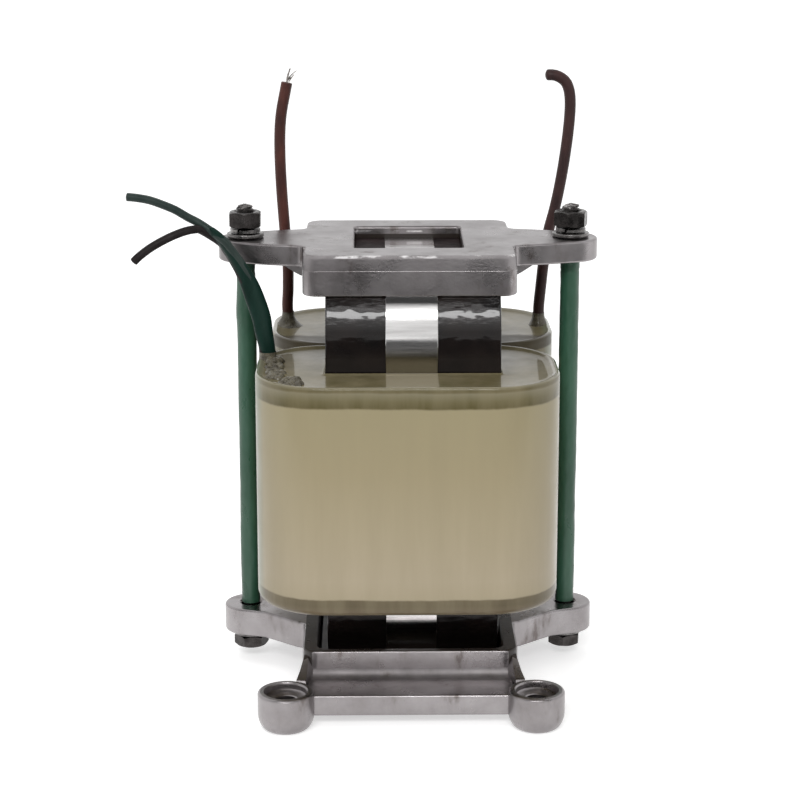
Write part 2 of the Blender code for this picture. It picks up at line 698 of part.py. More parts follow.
def build_fastenings(steel, dark_steel, green):
    top_washer = TOP_FACE + GAP
    spring = top_washer + FLAT_WASHER_THICKNESS + GAP
    nut = spring + SPRING_WASHER_THICKNESS + GAP
    bolt_end = nut + NUT_HEIGHT + BOLT_END_PROUD
    low_washer = BOTTOM_WING_UNDERSIDE - GAP - FLAT_WASHER_THICKNESS
    head_top = low_washer - GAP
    thread_start = TOP_WING_UNDERSIDE + OVERLAP
    sides = [
        ("left", -BOLT_X, LEFT_NUT_TURN, LEFT_HEAD_TURN),
        ("right", BOLT_X, RIGHT_NUT_TURN, RIGHT_HEAD_TURN),
    ]
    for side, x, nut_turn, head_turn in sides:
        bolt = hexagon(f"tie_bolt_{side}", x, head_top - HEAD_HEIGHT, head_top, head_turn, steel)
        rod = [
            (0, head_top - HEAD_HEIGHT / 2),
            (SHANK_RADIUS, head_top - HEAD_HEIGHT / 2),
            (SHANK_RADIUS, thread_start),
            (THREAD_RADIUS, thread_start + THREAD_RADIUS - SHANK_RADIUS),
            (THREAD_RADIUS, bolt_end - THREAD_CHAMFER),
            (THREAD_RADIUS - THREAD_CHAMFER, bolt_end),
            (0, bolt_end),
        ]
        join(bolt, turned(f"rod_{side}", rod, (x, 0)))
        hole = THREAD_RADIUS + GAP
        made = hexagon(f"top_nut_{side}", x, nut, nut + NUT_HEIGHT, nut_turn, dark_steel)
        low, high = nut - OVERRUN, nut + NUT_HEIGHT + OVERRUN
        cut(made, bolt_hole(f"nut_bore_{side}", x, 0, hole, low, high))
        high = top_washer + FLAT_WASHER_THICKNESS
        ring(f"top_washer_{side}", x, hole, FLAT_WASHER_RADIUS, top_washer, high, steel)
        high = low_washer + FLAT_WASHER_THICKNESS
        ring(f"bottom_washer_{side}", x, hole, FLAT_WASHER_RADIUS, low_washer, high, steel)
        spring_washer(f"spring_washer_{side}", x, spring, steel)
        inner = SHANK_RADIUS + GAP
        low, high = TRAY_RIM + SLEEVE_END_PLAY, TOP_WING_UNDERSIDE - SLEEVE_END_PLAY
        ring(f"bolt_sleeve_{side}", x, inner, inner + SLEEVE_WALL, low, high, green)


def former_plan(offset, way):
    """The former's outline in plan round one leg, grown by an offset."""
    corner = max(FORMER_CORNER + offset, CORE_EDGE_BREAK)
    half_width, half_depth = FORMER_HALF_WIDTH + offset, FORMER_HALF_DEPTH + offset
    return rounded_rectangle(half_width, half_depth, corner, (CORE_SHIFT, way * LEG_Y))


def coil_plan(offset, x, way):
    """The potted coil's outline in plan, shrunk by an offset."""
    half_width, half_depth = COIL_HALF_WIDTH - offset, COIL_HALF_DEPTH - offset
    return rounded_rectangle(half_width, half_depth, COIL_CORNER - offset, (x, way * COIL_Y))


def resin_loops(x, way, winding_bottom, winding_top):
    """A jacket that is open towards the former, with round shoulders top and bottom."""
    bore = former_plan(GAP, way)
    room = coil_plan(RESIN_WALL, x, way)
    bends = [math.radians(90 * i / CORNER_STEPS) for i in range(CORNER_STEPS + 1)]
    loops = [at_height(bore, COIL_BOTTOM)]
    for bend in bends:
        inset = COIL_SHOULDER * (1 - math.sin(bend))
        z = COIL_BOTTOM + COIL_SHOULDER * (1 - math.cos(bend))
        loops.append(at_height(coil_plan(inset, x, way), z))
    for bend in bends:
        inset = COIL_SHOULDER * (1 - math.cos(bend))
        z = COIL_TOP - COIL_SHOULDER * (1 - math.sin(bend))
        loops.append(at_height(coil_plan(inset, x, way), z))
    loops.append(at_height(bore, COIL_TOP))
    loops.append(at_height(bore, winding_top + GAP))
    loops.append(at_height(room, winding_top + GAP))
    loops.append(at_height(room, winding_bottom - GAP))
    loops.append(at_height(bore, winding_bottom - GAP))
    return loops


def winding_loops(x, way, low, high):
    bore = former_plan(2 * GAP, way)
    face = coil_plan(RESIN_WALL + GAP, x, way)
    edge = coil_plan(RESIN_WALL + GAP + WINDING_EDGE, x, way)
    return [
        at_height(bore, low),
        at_height(edge, low),
        at_height(face, low + WINDING_EDGE),
        at_height(face, high - WINDING_EDGE),
        at_height(edge, high),
        at_height(bore, high),
    ]


def collar(name, x, y, radius):
    """A low cone of resin on the coil's top, where a lead of this radius leaves it."""
    profile = [
        (0, COIL_TOP - COLLAR_ROOT),
        (radius + COLLAR_SPREAD, COIL_TOP - COLLAR_ROOT),
        (radius + COLLAR_SPREAD, COIL_TOP),
        (radius, COIL_TOP + COLLAR_HEIGHT),
        (0, COIL_TOP + COLLAR_HEIGHT),
    ]
    return turned(name, profile, (x, y), sides=ROUND_SIDES // 2)


def build_coils(paper, cream, amber, board):
    winding_bottom, winding_top = COIL_BOTTOM + RESIN_BOTTOM, COIL_TOP - RESIN_TOP
    for end, way, shift in (("front", -1, FRONT_COIL_SHIFT), ("rear", 1, REAR_COIL_SHIFT)):
        low, high = COIL_BOTTOM + GAP, COIL_TOP - GAP
        inner, outer = former_plan(-FORMER_WALL, way), former_plan(0, way)
        corners = [(inner, low), (outer, low), (outer, high), (inner, high)]
        loft(f"{end}_coil_former", [at_height(plan, z) for plan, z in corners], paper, ring=True)
        loops = winding_loops(shift, way, winding_bottom, winding_top)
        loft(f"{end}_coil_winding", loops, cream, ring=True)
        loops = resin_loops(shift, way, winding_bottom, winding_top)
        resin = loft(f"{end}_coil_resin", loops, amber, ring=True)
        left, right = shift - COIL_HALF_WIDTH, shift + COIL_HALF_WIDTH
        if end == "front":
            x, y = left + LV_COLLAR_INSET, LV_COLLAR_SETBACK - COIL_Y
            join(resin, collar("lv_collar", x, y, LV_SHEATH_RADIUS))
        else:
            y = COIL_Y + HV_COLLAR_SETBACK
            join(
                resin,
                collar("hv_collar_left", left + HV_COLLAR_LEFT_INSET, y, HV_LEAD_RADIUS),
                collar("hv_collar_right", right - HV_COLLAR_RIGHT_INSET, y, HV_LEAD_RADIUS),
            )
        inside = COIL_MIDDLE_GAP / 2
        outside = WINDOW_DEPTH / 2 - PAD_SIDE_INSET
        plan = rounded_rectangle(
            PAD_LENGTH / 2,
            (outside - inside) / 2,
            PAD_EDGE,
            (CORE_SHIFT, way * (outside + inside) / 2),
            SMALL_STEPS,
        )
        faces = [CORE_BOTTOM + CORE_BUILD + GAP, COIL_BOTTOM - GAP]
        loft(f"{end}_coil_pad", [at_height(plan, z) for z in faces], board)


def smooth_route(route, spacing):
    """Evenly spaced points on one smooth curve, with the route's first and last runs kept straight."""
    points = [Vector(p) for p in route[1:-1]]
    points = [2 * points[0] - points[1]] + points + [2 * points[-1] - points[-2]]
    fine = []
    steps = 24
    for a, b, c, d in zip(points, points[1:], points[2:], points[3:]):
        slope, curve, twist = c - a, 2 * a - 5 * b + 4 * c - d, 3 * b - a - 3 * c + d
        for i in range(steps):
            t = i / steps
            fine.append(b + (slope * t + curve * t**2 + twist * t**3) / 2)
    fine.append(points[-2])
    lengths = [0]
    for a, b in zip(fine, fine[1:]):
        lengths.append(lengths[-1] + (b - a).length)
    count = max(2, round(lengths[-1] / spacing))
    found = []
    for i in range(count + 1):
        wanted = lengths[-1] * i / count
        j = max(k for k in range(len(fine) - 1) if lengths[k] <= wanted)
        share = (wanted - lengths[j]) / (lengths[j + 1] - lengths[j])
        found.append(fine[j].lerp(fine[j + 1], share))
    return [Vector(route[0]), *found, Vector(route[-1])]


def lead(name, route, radius, made_of):
    curve = bpy.data.curves.new(name, "CURVE")
    curve.dimensions = "3D"
    curve.bevel_depth = radius
    curve.bevel_resolution = 2
    curve.use_fill_caps = True
    points = smooth_route(route, LEAD_STEP_DIAMETERS * 2 * radius)
    spline = curve.splines.new("POLY")
    spline.points.add(len(points) - 1)
    for knot, place in zip(spline.points, points):
        knot.co = (*place, 1)
    curve.materials.append(made_of)
    piece = bpy.data.objects.new(name, curve)
    bpy.context.scene.collection.objects.link(piece)


def build_leads(brown, tinned, green, dark):
    lead("hv_lead_left", HV_LEFT_ROUTE, HV_LEAD_RADIUS, brown)
    lead("hv_lead_left_strands", HV_LEFT_STRANDS_ROUTE, HV_STRANDS_RADIUS, tinned)
    lead("hv_lead_right", HV_RIGHT_ROUTE, HV_LEAD_RADIUS, brown)
    lead("lv_sheath", LV_SHEATH_ROUTE, LV_SHEATH_RADIUS, green)
    lead("lv_lead_green", LV_GREEN_ROUTE, LV_LEAD_RADIUS, green)
    lead("lv_lead_dark", LV_DARK_ROUTE, LV_LEAD_RADIUS, dark)


def main():
    clear_scene()
    black = material("black_core_varnish", (0.012, 0.011, 0.010), 0.22, 0)
    steel = material("bright_steel", (0.78, 0.77, 0.76), 0.22, 1)
    dark_steel = material("dark_steel", (0.30, 0.29, 0.29), 0.32, 1)
    aluminium = material("cast_aluminium", (0.62, 0.60, 0.60), 0.38, 1)
    paper = material("insulation_board", (0.42, 0.33, 0.20), 0.7, 0)
    cream = material("cream_winding", (0.62, 0.56, 0.40), 0.5, 0)
    amber = material("clear_resin", (0.45, 0.42, 0.28), 0.12, 0)
    green = material("green_shrink_sleeve", (0.03, 0.16, 0.10), 0.4, 0)
    brown = material("brown_lead", (0.10, 0.03, 0.025), 0.45, 0)
    tinned = material("tinned_strands", (0.70, 0.69, 0.66), 0.3, 1)
    dark = material("dark_lead", (0.03, 0.022, 0.022), 0.5, 0)
    build_core(black)
    build_shims(paper)
    build_band(steel)
    build_bottom_clamp(aluminium)
    build_top_clamp(aluminium)
    build_coils(paper, cream, amber, paper)
    build_fastenings(steel, dark_steel, green)
    build_leads(brown, tinned, green, dark)


main()
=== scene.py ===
import json
from math import copysign, cos, exp, pi, radians, sin
import bmesh
import bpy
from mathutils import Matrix, Vector, noise

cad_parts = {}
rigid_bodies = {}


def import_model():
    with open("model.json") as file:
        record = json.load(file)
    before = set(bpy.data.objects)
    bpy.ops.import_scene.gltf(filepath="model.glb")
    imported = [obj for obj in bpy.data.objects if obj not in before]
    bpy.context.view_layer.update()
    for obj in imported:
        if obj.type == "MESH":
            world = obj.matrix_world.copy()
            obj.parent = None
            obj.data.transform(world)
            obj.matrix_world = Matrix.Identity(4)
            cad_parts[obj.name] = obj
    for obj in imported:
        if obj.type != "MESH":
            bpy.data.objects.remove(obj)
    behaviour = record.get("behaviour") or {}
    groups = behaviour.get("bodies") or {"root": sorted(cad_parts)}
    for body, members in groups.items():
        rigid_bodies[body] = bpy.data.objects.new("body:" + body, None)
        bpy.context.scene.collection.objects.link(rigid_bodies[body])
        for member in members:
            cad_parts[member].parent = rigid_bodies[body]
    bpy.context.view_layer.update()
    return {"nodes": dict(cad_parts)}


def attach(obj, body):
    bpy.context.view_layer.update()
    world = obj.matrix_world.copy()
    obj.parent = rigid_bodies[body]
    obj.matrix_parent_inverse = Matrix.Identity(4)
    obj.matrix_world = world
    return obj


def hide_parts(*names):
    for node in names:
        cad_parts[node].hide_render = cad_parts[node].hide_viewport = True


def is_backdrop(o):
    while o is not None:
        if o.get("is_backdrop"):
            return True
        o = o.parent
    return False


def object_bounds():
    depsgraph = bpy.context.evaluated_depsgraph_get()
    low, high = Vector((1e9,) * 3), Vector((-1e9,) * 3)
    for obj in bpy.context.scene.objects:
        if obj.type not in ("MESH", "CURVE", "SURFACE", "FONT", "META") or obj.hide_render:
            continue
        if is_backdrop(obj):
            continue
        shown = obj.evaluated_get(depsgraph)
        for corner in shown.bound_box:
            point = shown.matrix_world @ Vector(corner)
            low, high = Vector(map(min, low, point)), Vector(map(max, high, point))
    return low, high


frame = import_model()
mm = 0.001

# The photographer stood about 0.68 m in front of the transformer, a little to the left of its
# middle, with a long lens that looks down on it by twelve degrees.
lens = bpy.data.cameras.new("front_view")
lens.lens = 95.2
lens.sensor_width = 36
lens.shift_y = -0.10
camera = bpy.data.objects.new("front_view", lens)
camera.location = (-0.01214, -0.6799, 0.2632)
camera.rotation_euler = (radians(77.76), 0, radians(-0.8))
bpy.context.scene.collection.objects.link(camera)
bpy.context.scene.camera = camera


# The flying leads. Two brown high-voltage leads, rubber over stranded copper, stand up from the
# rear coil, and the left one is stripped. A flat green sheath holds the two low-voltage wires
# from the front coil, crosses the left bolt and opens in a web where the wires part.
def plug(tree, made, **inputs):
    """Fills a node's inputs. Each, named or i0, i1 and so on, takes a value or another's socket."""
    for name, value in inputs.items():
        numbered = name[0] == "i" and name[1:].isdigit()
        socket = made.inputs[int(name[1:]) if numbered else name.replace("_", " ")]
        if isinstance(value, bpy.types.NodeSocket):
            tree.links.new(value, socket)
        else:
            socket.default_value = value
    return made


def put(tree, kind, settings=(), **inputs):
    """Adds a node with its settings and inputs."""
    made = tree.nodes.new(kind)
    for name, value in dict(settings).items():
        setattr(made, name, value)
    return plug(tree, made, **inputs)


def maths(tree, operation, *values):
    """A number worked out from others."""
    inputs = {f"i{i}": value for i, value in enumerate(values)}
    return put(tree, "ShaderNodeMath", {"operation": operation}, **inputs).outputs[0]


def vectors(tree, operation, *values):
    """A vector worked out from others, or else a length or a distance."""
    inputs = {f"i{i}": value for i, value in enumerate(values)}
    made = put(tree, "ShaderNodeVectorMath", {"operation": operation}, **inputs)
    return made.outputs["Value" if operation in ("LENGTH", "DISTANCE") else "Vector"]


def mapped(tree, value, start, stop, low=0.0, high=1.0):
    """A number that goes from low to high while a value goes from start to stop."""
    levels = {"From_Min": start, "From_Max": stop, "To_Min": low, "To_Max": high}
    return put(tree, "ShaderNodeMapRange", Value=value, **levels).outputs[0]


def ramp(tree, factor, stops):
    """A colour that changes along a factor, from stops of (place, colour)."""
    made = put(tree, "ShaderNodeValToRGB", Fac=factor)
    steps = made.color_ramp.elements
    while len(steps) < len(stops):
        steps.new(0.5)
    for step, (place, colour) in zip(steps, stops):
        step.position = place
        step.color = (*colour, 1)
    return made.outputs["Color"]


def blend(tree, factor, first, second):
    """One colour over another by a factor."""
    first, second = ((*c, 1) if isinstance(c, tuple) else c for c in (first, second))
    return put(tree, "ShaderNodeMix", {"data_type": "RGBA"}, i0=factor, i6=first, i7=second).outputs[2]


def shader_group(name, inputs, output):
    """An empty shader group with its named sockets, and its input and output nodes."""
    tree = bpy.data.node_groups.new(name, "ShaderNodeTree")
    for label, value in inputs.items():
        kind = "NodeSocketVector" if value is None or isinstance(value, tuple) else "NodeSocketFloat"
        socket = tree.interface.new_socket(label, in_out="INPUT", socket_type=kind)
        if value is not None:
            socket.default_value = value
    tree.interface.new_socket(output, in_out="OUTPUT", socket_type="NodeSocketFloat")
    return tree, tree.nodes.new("NodeGroupInput").outputs, tree.nodes.new("NodeGroupOutput")


blotches, feed, end = shader_group(
    "blotches", {"Vector": None, "Stretch": (1, 1, 1), "Scale": 60, "Low": 0, "High": 1}, "Value"
)
moved = vectors(blotches, "MULTIPLY", feed["Vector"], feed["Stretch"])
cloud = put(blotches, "ShaderNodeTexNoise", Vector=moved, Scale=feed["Scale"], Detail=5, Roughness=0.6)
plug(blotches, end, Value=mapped(blotches, cloud.outputs[0], 0.32, 0.68, feed["Low"], feed["High"]))

grain, feed, end = shader_group("grain", {"Vector": None, "Scale": 900, "Pits": 0.3}, "Height")
fine = put(grain, "ShaderNodeTexNoise", Vector=feed["Vector"], Scale=feed["Scale"], Detail=3)
wide = maths(grain, "MULTIPLY", feed["Scale"], 0.22)
cell = put(grain, "ShaderNodeTexVoronoi", Vector=feed["Vector"], Scale=wide)
pit = mapped(grain, cell.outputs["Distance"], 0.0, 0.22)
depth = maths(grain, "MULTIPLY", pit, feed["Pits"])
plug(grain, end, Height=maths(grain, "ADD", fine.outputs[0], depth))


def blank(name):
    """A new material, its node tree, its shader and the object coordinates its patterns read."""
    made = bpy.data.materials.new(name)
    made.use_nodes = True
    tree = made.node_tree
    place = put(tree, "ShaderNodeTexCoord").outputs["Object"]
    return made, tree, tree.nodes["Principled BSDF"], place


def varied(tree, place, scale, low, high, stretch=(1, 1, 1)):
    """A value that drifts between two levels over the surface."""
    levels = {"Vector": place, "Stretch": stretch, "Scale": scale, "Low": low, "High": high}
    return put(tree, "ShaderNodeGroup", {"node_tree": blotches}, **levels).outputs["Value"]


def roughened(tree, shader, place, scale, pits, strength, distance):
    """Gives the shader a fine uneven skin."""
    skin_grain = put(tree, "ShaderNodeGroup", {"node_tree": grain}, Vector=place, Scale=scale, Pits=pits)
    height = skin_grain.outputs["Height"]
    bump = put(tree, "ShaderNodeBump", Height=height, Strength=strength, Distance=distance)
    plug(tree, shader, Normal=bump.outputs["Normal"])


def two_toned(name, dark, light, tone, rough, uneven, **constants):
    """A material that drifts between two colours, with a drifting roughness and a fine skin."""
    made, tree, shader, place = blank(name)
    scale, *stretch = tone
    colour = blend(tree, varied(tree, place, scale, 0, 1, *stretch), dark, light)
    plug(tree, shader, Base_Color=colour, Roughness=varied(tree, place, *rough), **constants)
    roughened(tree, shader, place, *uneven)
    return made


def insulation(name, dark, light, rough, shine=0.2):
    """Extruded insulation, which drifts along its length and has handling marks."""
    marks = (420, rough - 0.08, rough + 0.12)
    uneven = (2600, 0.15, 0.25, 0.0002)
    return two_toned(name, dark, light, (220, (1, 1, 0.35)), marks, uneven, Specular_IOR_Level=shine)


def in_mm(*points):
    """Points or pairs that are given in millimetres."""
    return [tuple(value * mm for value in point) for point in points]


def smooth_line(route, spacing):
    """Evenly spaced points on one smooth curve through a route, with straight ends."""
    points = [Vector(p) for p in route[1:-1]]
    points = [2 * points[0] - points[1]] + points + [2 * points[-1] - points[-2]]
    fine_line = []
    for a, b, c, d in zip(points, points[1:], points[2:], points[3:]):
        slope, curve, twist = c - a, 2 * a - 5 * b + 4 * c - d, 3 * b - a - 3 * c + d
        for i in range(24):
            t = i / 24
            fine_line.append(b + (slope * t + curve * t**2 + twist * t**3) / 2)
    fine_line.append(points[-2])
    reach = [0]
    for a, b in zip(fine_line, fine_line[1:]):
        reach.append(reach[-1] + (b - a).length)
    count = max(2, round(reach[-1] / spacing))
    line = []
    for i in range(count + 1):
        wanted = reach[-1] * i / count
        j = max(k for k in range(len(fine_line) - 1) if reach[k] <= wanted)
        part = (wanted - reach[j]) / (reach[j + 1] - reach[j])
        line.append(fine_line[j].lerp(fine_line[j + 1], part))
    return [Vector(route[0]), *line, Vector(route[-1])]


def walls(bm, rows, closed=False):
    """Joins rows of equal length with faces, and caps the two ends or joins them."""
    for low, high in zip(rows, rows[1:] + rows[:1] if closed else rows[1:]):
        for i in range(len(low)):
            j = (i + 1) % len(low)
            bm.faces.new((low[i], low[j], high[j], high[i]))
    if not closed:
        bm.faces.new(rows[0])
        bm.faces.new(rows[-1])
    bmesh.ops.recalc_face_normals(bm, faces=bm.faces)


def piece_of(name, bm, turn=35):
    """Makes the object, smooth but for edges that turn by more than an angle."""
    mesh = bpy.data.meshes.new(name)
    bm.to_mesh(mesh)
    bm.free()
    mesh.shade_smooth()
    mesh.set_sharp_from_angle(angle=radians(turn))
    made = bpy.data.objects.new(name, mesh)
    bpy.context.scene.collection.objects.link(made)
    return made


def sideways(ahead, twist):
    """The direction across a flat cord, which starts square to the front and turns with a twist."""
    across = ahead.cross(Vector((0, 1, 0))).normalized()
    return across * cos(twist) + across.cross(ahead) * sin(twist)


def steady(size):
    """A measure that stays the same along a line."""
    return lambda s: size


def hose(name, line, wide, thick, tip, sides=20, mouth=0.0, twist=steady(0.0)):
    """Rings round a line. A flat cord may twist, and a mouth is drawn back in its middle."""
    bm = bmesh.new()
    stations = []
    last = len(line) - 1
    for i, place in enumerate(line):
        ahead = (line[min(i + 1, last)] - line[max(i - 1, 0)]).normalized()
        across = sideways(ahead, twist(i / last))
        stations.append((place, ahead, across, wide(i / last), thick(i / last)))
    place, ahead, across, w, t = stations[-1]
    for lean in (20, 40, 60, 75, 86):
        a = radians(lean)
        end = place + ahead * t * sin(a) * tip
        stations.append((end, ahead, across, w * cos(a), t * cos(a)))
    rows = []
    for i, (place, ahead, across, w, t) in enumerate(stations):
        out = across.cross(ahead)
        near_mouth = max(0.0, 1 - (last - i) / 4) if mouth else 0.0
        row = []
        for k in range(sides):
            a = 2 * pi * k / sides
            back = ahead * (mouth * near_mouth * (1 - abs(cos(a)) ** 1.5))
            row.append(bm.verts.new(place + across * w * cos(a) + out * t * sin(a) - back))
        rows.append(row)
    walls(bm, rows)
    return piece_of(name, bm, 50)


def mount_piece(made, material, slot, *nodes):
    """Gives a finished piece its material and ties it to the frame."""
    made.data.materials.clear()
    made.data.materials.append(material)
    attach(made, "root")
    if nodes:
        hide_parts(*nodes)
    return made


# The left lead's rubber is a lighter, redder copy of the right lead's: painted light for the highlights along
# its sides.
lit_lead_rubber = insulation("red_brown_rubber_lit", (0.04, 0.016, 0.014), (0.095, 0.032, 0.024), 0.42)
brown_rubber = insulation("brown_rubber", (0.026, 0.014, 0.014), (0.058, 0.028, 0.026), 0.42)
green_sheathing = insulation("green_sheathing", (0.003, 0.014, 0.010), (0.008, 0.028, 0.021), 0.36, 0.1)
green_wire_skin = insulation("green_wire_skin", (0.014, 0.025, 0.022), (0.032, 0.046, 0.041), 0.40)
dark_wire_skin = insulation("dark_wire_skin", (0.010, 0.008, 0.008), (0.024, 0.02, 0.02), 0.38, 0.12)

hv_left = smooth_line(in_mm(
    (-40.7, 33.5, 108.7), (-40.7, 33.5, 110.2), (-40.9, 33.4, 114),
    (-40.6, 33.2, 120), (-40.6, 33, 129), (-41.4, 33, 139),
    (-42.5, 33.2, 155.5), (-42.9, 33.6, 169), (-42.4, 33.8, 179),
    (-40.6, 33.8, 188.8), (-40.3, 33.8, 190.2),
), 1.2 * mm)
hv_right = smooth_line(in_mm(
    (45.6, 33.5, 108.7), (45.6, 33.5, 110.2), (45.7, 33.5, 114),
    (46.2, 33.4, 119.5), (47.1, 33.2, 128.8), (48.6, 33.1, 139.4),
    (50.4, 33.2, 146.5), (52.1, 33.4, 154.5), (53.8, 33.6, 165),
    (55.1, 33.7, 176.5), (55.3, 33.7, 185), (54, 33.7, 190),
    (51.2, 33.6, 192.3), (49, 33.6, 192.8), (47.8, 33.6, 192.8),
), 1.2 * mm)
sheath = smooth_line(in_mm(
    (-45.3, -19.6, 108.7), (-45.3, -19.6, 110.2), (-45.7, -19.7, 112.5),
    (-46.4, -19.2, 116), (-47.2, -18.2, 120.5), (-48.8, -17, 125.2),
    (-50.9, -15.8, 130.6), (-53.3, -14.9, 135.2), (-55.8, -14.3, 139.3),
    (-58.4, -14.1, 143), (-60.8, -14.2, 145.9), (-62.7, -14.3, 147.4),
    (-63.7, -14.4, 148.1),
), 1.0 * mm)
green_route = in_mm(
    (-66.2, -14.1, 150.1), (-70.3, -14.4, 152.4), (-74.3, -14.9, 154.9),
    (-78.5, -15.5, 156.8), (-82.2, -16, 158.2), (-85.9, -16.5, 159),
    (-88.1, -16.8, 159.3), (-89.1, -17, 159.4),
)
dark_route = in_mm(
    (-66.2, -15, 148.4), (-68.5, -16.1, 148.75), (-71.1, -17.2, 148.4),
    (-74.5, -18.3, 147.3), (-78.3, -19.3, 145.6), (-82, -20, 143.5),
    (-84.9, -20.5, 141.4), (-86.1, -20.8, 140.4), (-87.1, -21, 139.4),
)


def sheath_twist(s):
    """The sheath leaves the coil square to the front and turns nearly edge on at its fork."""
    part = min(1.0, max(0.0, (s - 0.35) / 0.55))
    return radians(52) * part * part * (3 - 2 * part)


def sheath_wide(s):
    """Half the sheath's width along it, fullest below its middle."""
    return (2.45 + 0.65 * sin(pi * min(1, 1.4 * s)) + 0.05 * s) * mm


def sheath_thick(s):
    """Half its thickness, which thins towards the fork and is a little uneven."""
    return (1.9 - 0.5 * s + 0.10 * sin(19 * s)) * mm


def inner_wire(name, side, route):
    """A wire that starts in the resin, lies in one side of the sheath and then leaves it."""
    hidden = []
    last = len(sheath) - 1
    for i in range(0, last - 2, 3):
        ahead = (sheath[i + 1] - sheath[i]).normalized()
        hidden.append(sheath[i] + sideways(ahead, sheath_twist(i / last)) * side * 1.25 * mm)
    line = smooth_line([*hidden, *(Vector(p) for p in route)], 1.0 * mm)
    return hose(name, line, steady(1.35 * mm), steady(1.35 * mm), 0.35, 16), line


# The tinned strands are twisted where they leave the rubber and then spring apart.
strand_foot, strand_radius = Vector((-0.0403, 0.0338, 0.1892)), 0.26 * mm
strands = bmesh.new()
for k, sprung in enumerate((0.1, 0.9, 0.1, 2.4, 0.1)):
    away = 0.5 * mm if k else 0
    height = (5.9 - 0.7 * (k * 2 % 5)) * mm
    rows = []
    for i in range(15):
        t = i / 14
        a = 2 * pi * k / 5 + 2.2 * t
        fan = away * (1 - 0.3 * t + sprung * t**3)
        bend = Vector(((1.2 + 0.25 * k) * mm * t**1.8, -0.25 * mm * t, 0))
        middle = strand_foot + Vector((fan * cos(a), fan * sin(a), height * t)) + bend
        row = []
        for j in range(6):
            b = 2 * pi * j / 6
            row.append(strands.verts.new(middle + strand_radius * Vector((cos(b), sin(b), 0))))
        rows.append(row)
    walls(strands, rows)
strand_piece = piece_of("stripped_strands", strands, 60)
tinned = two_toned("tinned_strand", (0.10, 0.085, 0.075), (0.62, 0.58, 0.54), (900,), (1500, 0.18, 0.42),
                   (3000, 0.2, 0.2, 0.0001), Metallic=1)
mount_piece(strand_piece, tinned, "tinned_wire", "hv_lead_left_strands")

lead_radius = steady(1.9 * mm)
left_lead = hose("brown_lead_left", hv_left, lead_radius, lead_radius, 0.12)
right_lead = hose("brown_lead_right", hv_right, lead_radius, lead_radius, 0.55)
mount_piece(left_lead, lit_lead_rubber, "brown_lead", "hv_lead_left")
mount_piece(right_lead, brown_rubber, "brown_lead", "hv_lead_right")
green_wire, green_line = inner_wire("green_wire", -1, green_route)
dark_wire, dark_line = inner_wire("dark_wire", 1, dark_route)
mount_piece(green_wire, green_wire_skin, "green_sheath", "lv_lead_green")
mount_piece(dark_wire, dark_wire_skin, "dark_lead", "lv_lead_dark")
green_sheath = hose("green_sheath", sheath, sheath_wide, sheath_thick, 0.4, 28, 1.6 * mm, sheath_twist)
mount_piece(green_sheath, green_sheathing, "green_sheath", "lv_sheath")


# The studio: a plain pale floor under a pale sky, a window lamp that shows in the varnish, soft
# fills from the front and overhead, and the dim room in front, which only shows in the metal.
def seen_or_mirrored(tree):
    """One for what the camera sees, straight, mirrored or through glass, and nought for lighting."""
    rays = put(tree, "ShaderNodeLightPath").outputs
    straight = maths(tree, "MAXIMUM", rays["Is Camera Ray"], rays["Is Transmission Ray"])
    return maths(tree, "MAXIMUM", straight, rays["Is Glossy Ray"])


floor_paint, tree, shader, place = blank("pale_floor")
plug(tree, shader, Base_Color=(0.86, 0.86, 0.86, 1), Roughness=0.6, Specular_IOR_Level=0.2)
pale = mapped(tree, vectors(tree, "LENGTH", place), 0.35, 1.6, 0.50, 0.70)
glow = put(tree, "ShaderNodeEmission", Strength=maths(tree, "MULTIPLY", seen_or_mirrored(tree), pale))
both = put(tree, "ShaderNodeAddShader", i0=shader.outputs[0], i1=glow.outputs[0])
plug(tree, tree.nodes["Material Output"], Surface=both.outputs[0])


def card(name, width, front, back, height, material):
    """A flat rectangle that belongs to the studio."""
    bm = bmesh.new()
    corners = [(-width, front), (width, front), (width, back), (-width, back)]
    face = bm.faces.new([bm.verts.new((x, y, height)) for x, y in corners])
    chart = bm.loops.layers.uv.new("card")
    for loop, spot in zip(face.loops, ((0, 0), (1, 0), (1, 1), (0, 1))):
        loop[chart].uv = spot
    made = piece_of(name, bm)
    made.data.materials.append(material)
    made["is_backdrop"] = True
    return made


card("floor", 8, -8, 8, 0, floor_paint)
room_paint, tree, shader, place = blank("dim_room")
plug(tree, shader, Base_Color=(0.03, 0.03, 0.03, 1), Roughness=0.9)
chart = put(tree, "ShaderNodeSeparateXYZ", Vector=put(tree, "ShaderNodeUVMap", {"uv_map": "card"}).outputs[0])
fades = []
for name in ("X", "Y"):
    inward = maths(tree, "PINGPONG", chart.outputs[name], 0.5)
    smooth = {"interpolation_type": "SMOOTHSTEP"}
    fades.append(put(tree, "ShaderNodeMapRange", smooth, Value=inward, From_Max=0.22).outputs[0])
nothing = put(tree, "ShaderNodeBsdfTransparent")
solid = maths(tree, "MULTIPLY", *fades)
faded = put(tree, "ShaderNodeMixShader", i0=solid, i1=nothing.outputs[0], i2=shader.outputs[0])
plug(tree, tree.nodes["Material Output"], Surface=faded.outputs[0])
near_side = card("dim_room", 1.3, -1.35, -0.12, 0.002, room_paint)
ceiling = card("dim_ceiling", 2.2, -1.25, -0.32, 1.5, room_paint)
for room in (near_side, ceiling):
    room.visible_camera = room.visible_diffuse = False
    room.visible_shadow = room.visible_transmission = False

world = bpy.data.worlds.new("pale_sky")
bpy.context.scene.world = world
world.use_nodes = True
tree = world.node_tree
level = mapped(tree, seen_or_mirrored(tree), 0, 1, 0.42, 1.0)
plug(tree, tree.nodes["Background"], Color=(1, 1, 1, 1), Strength=level)


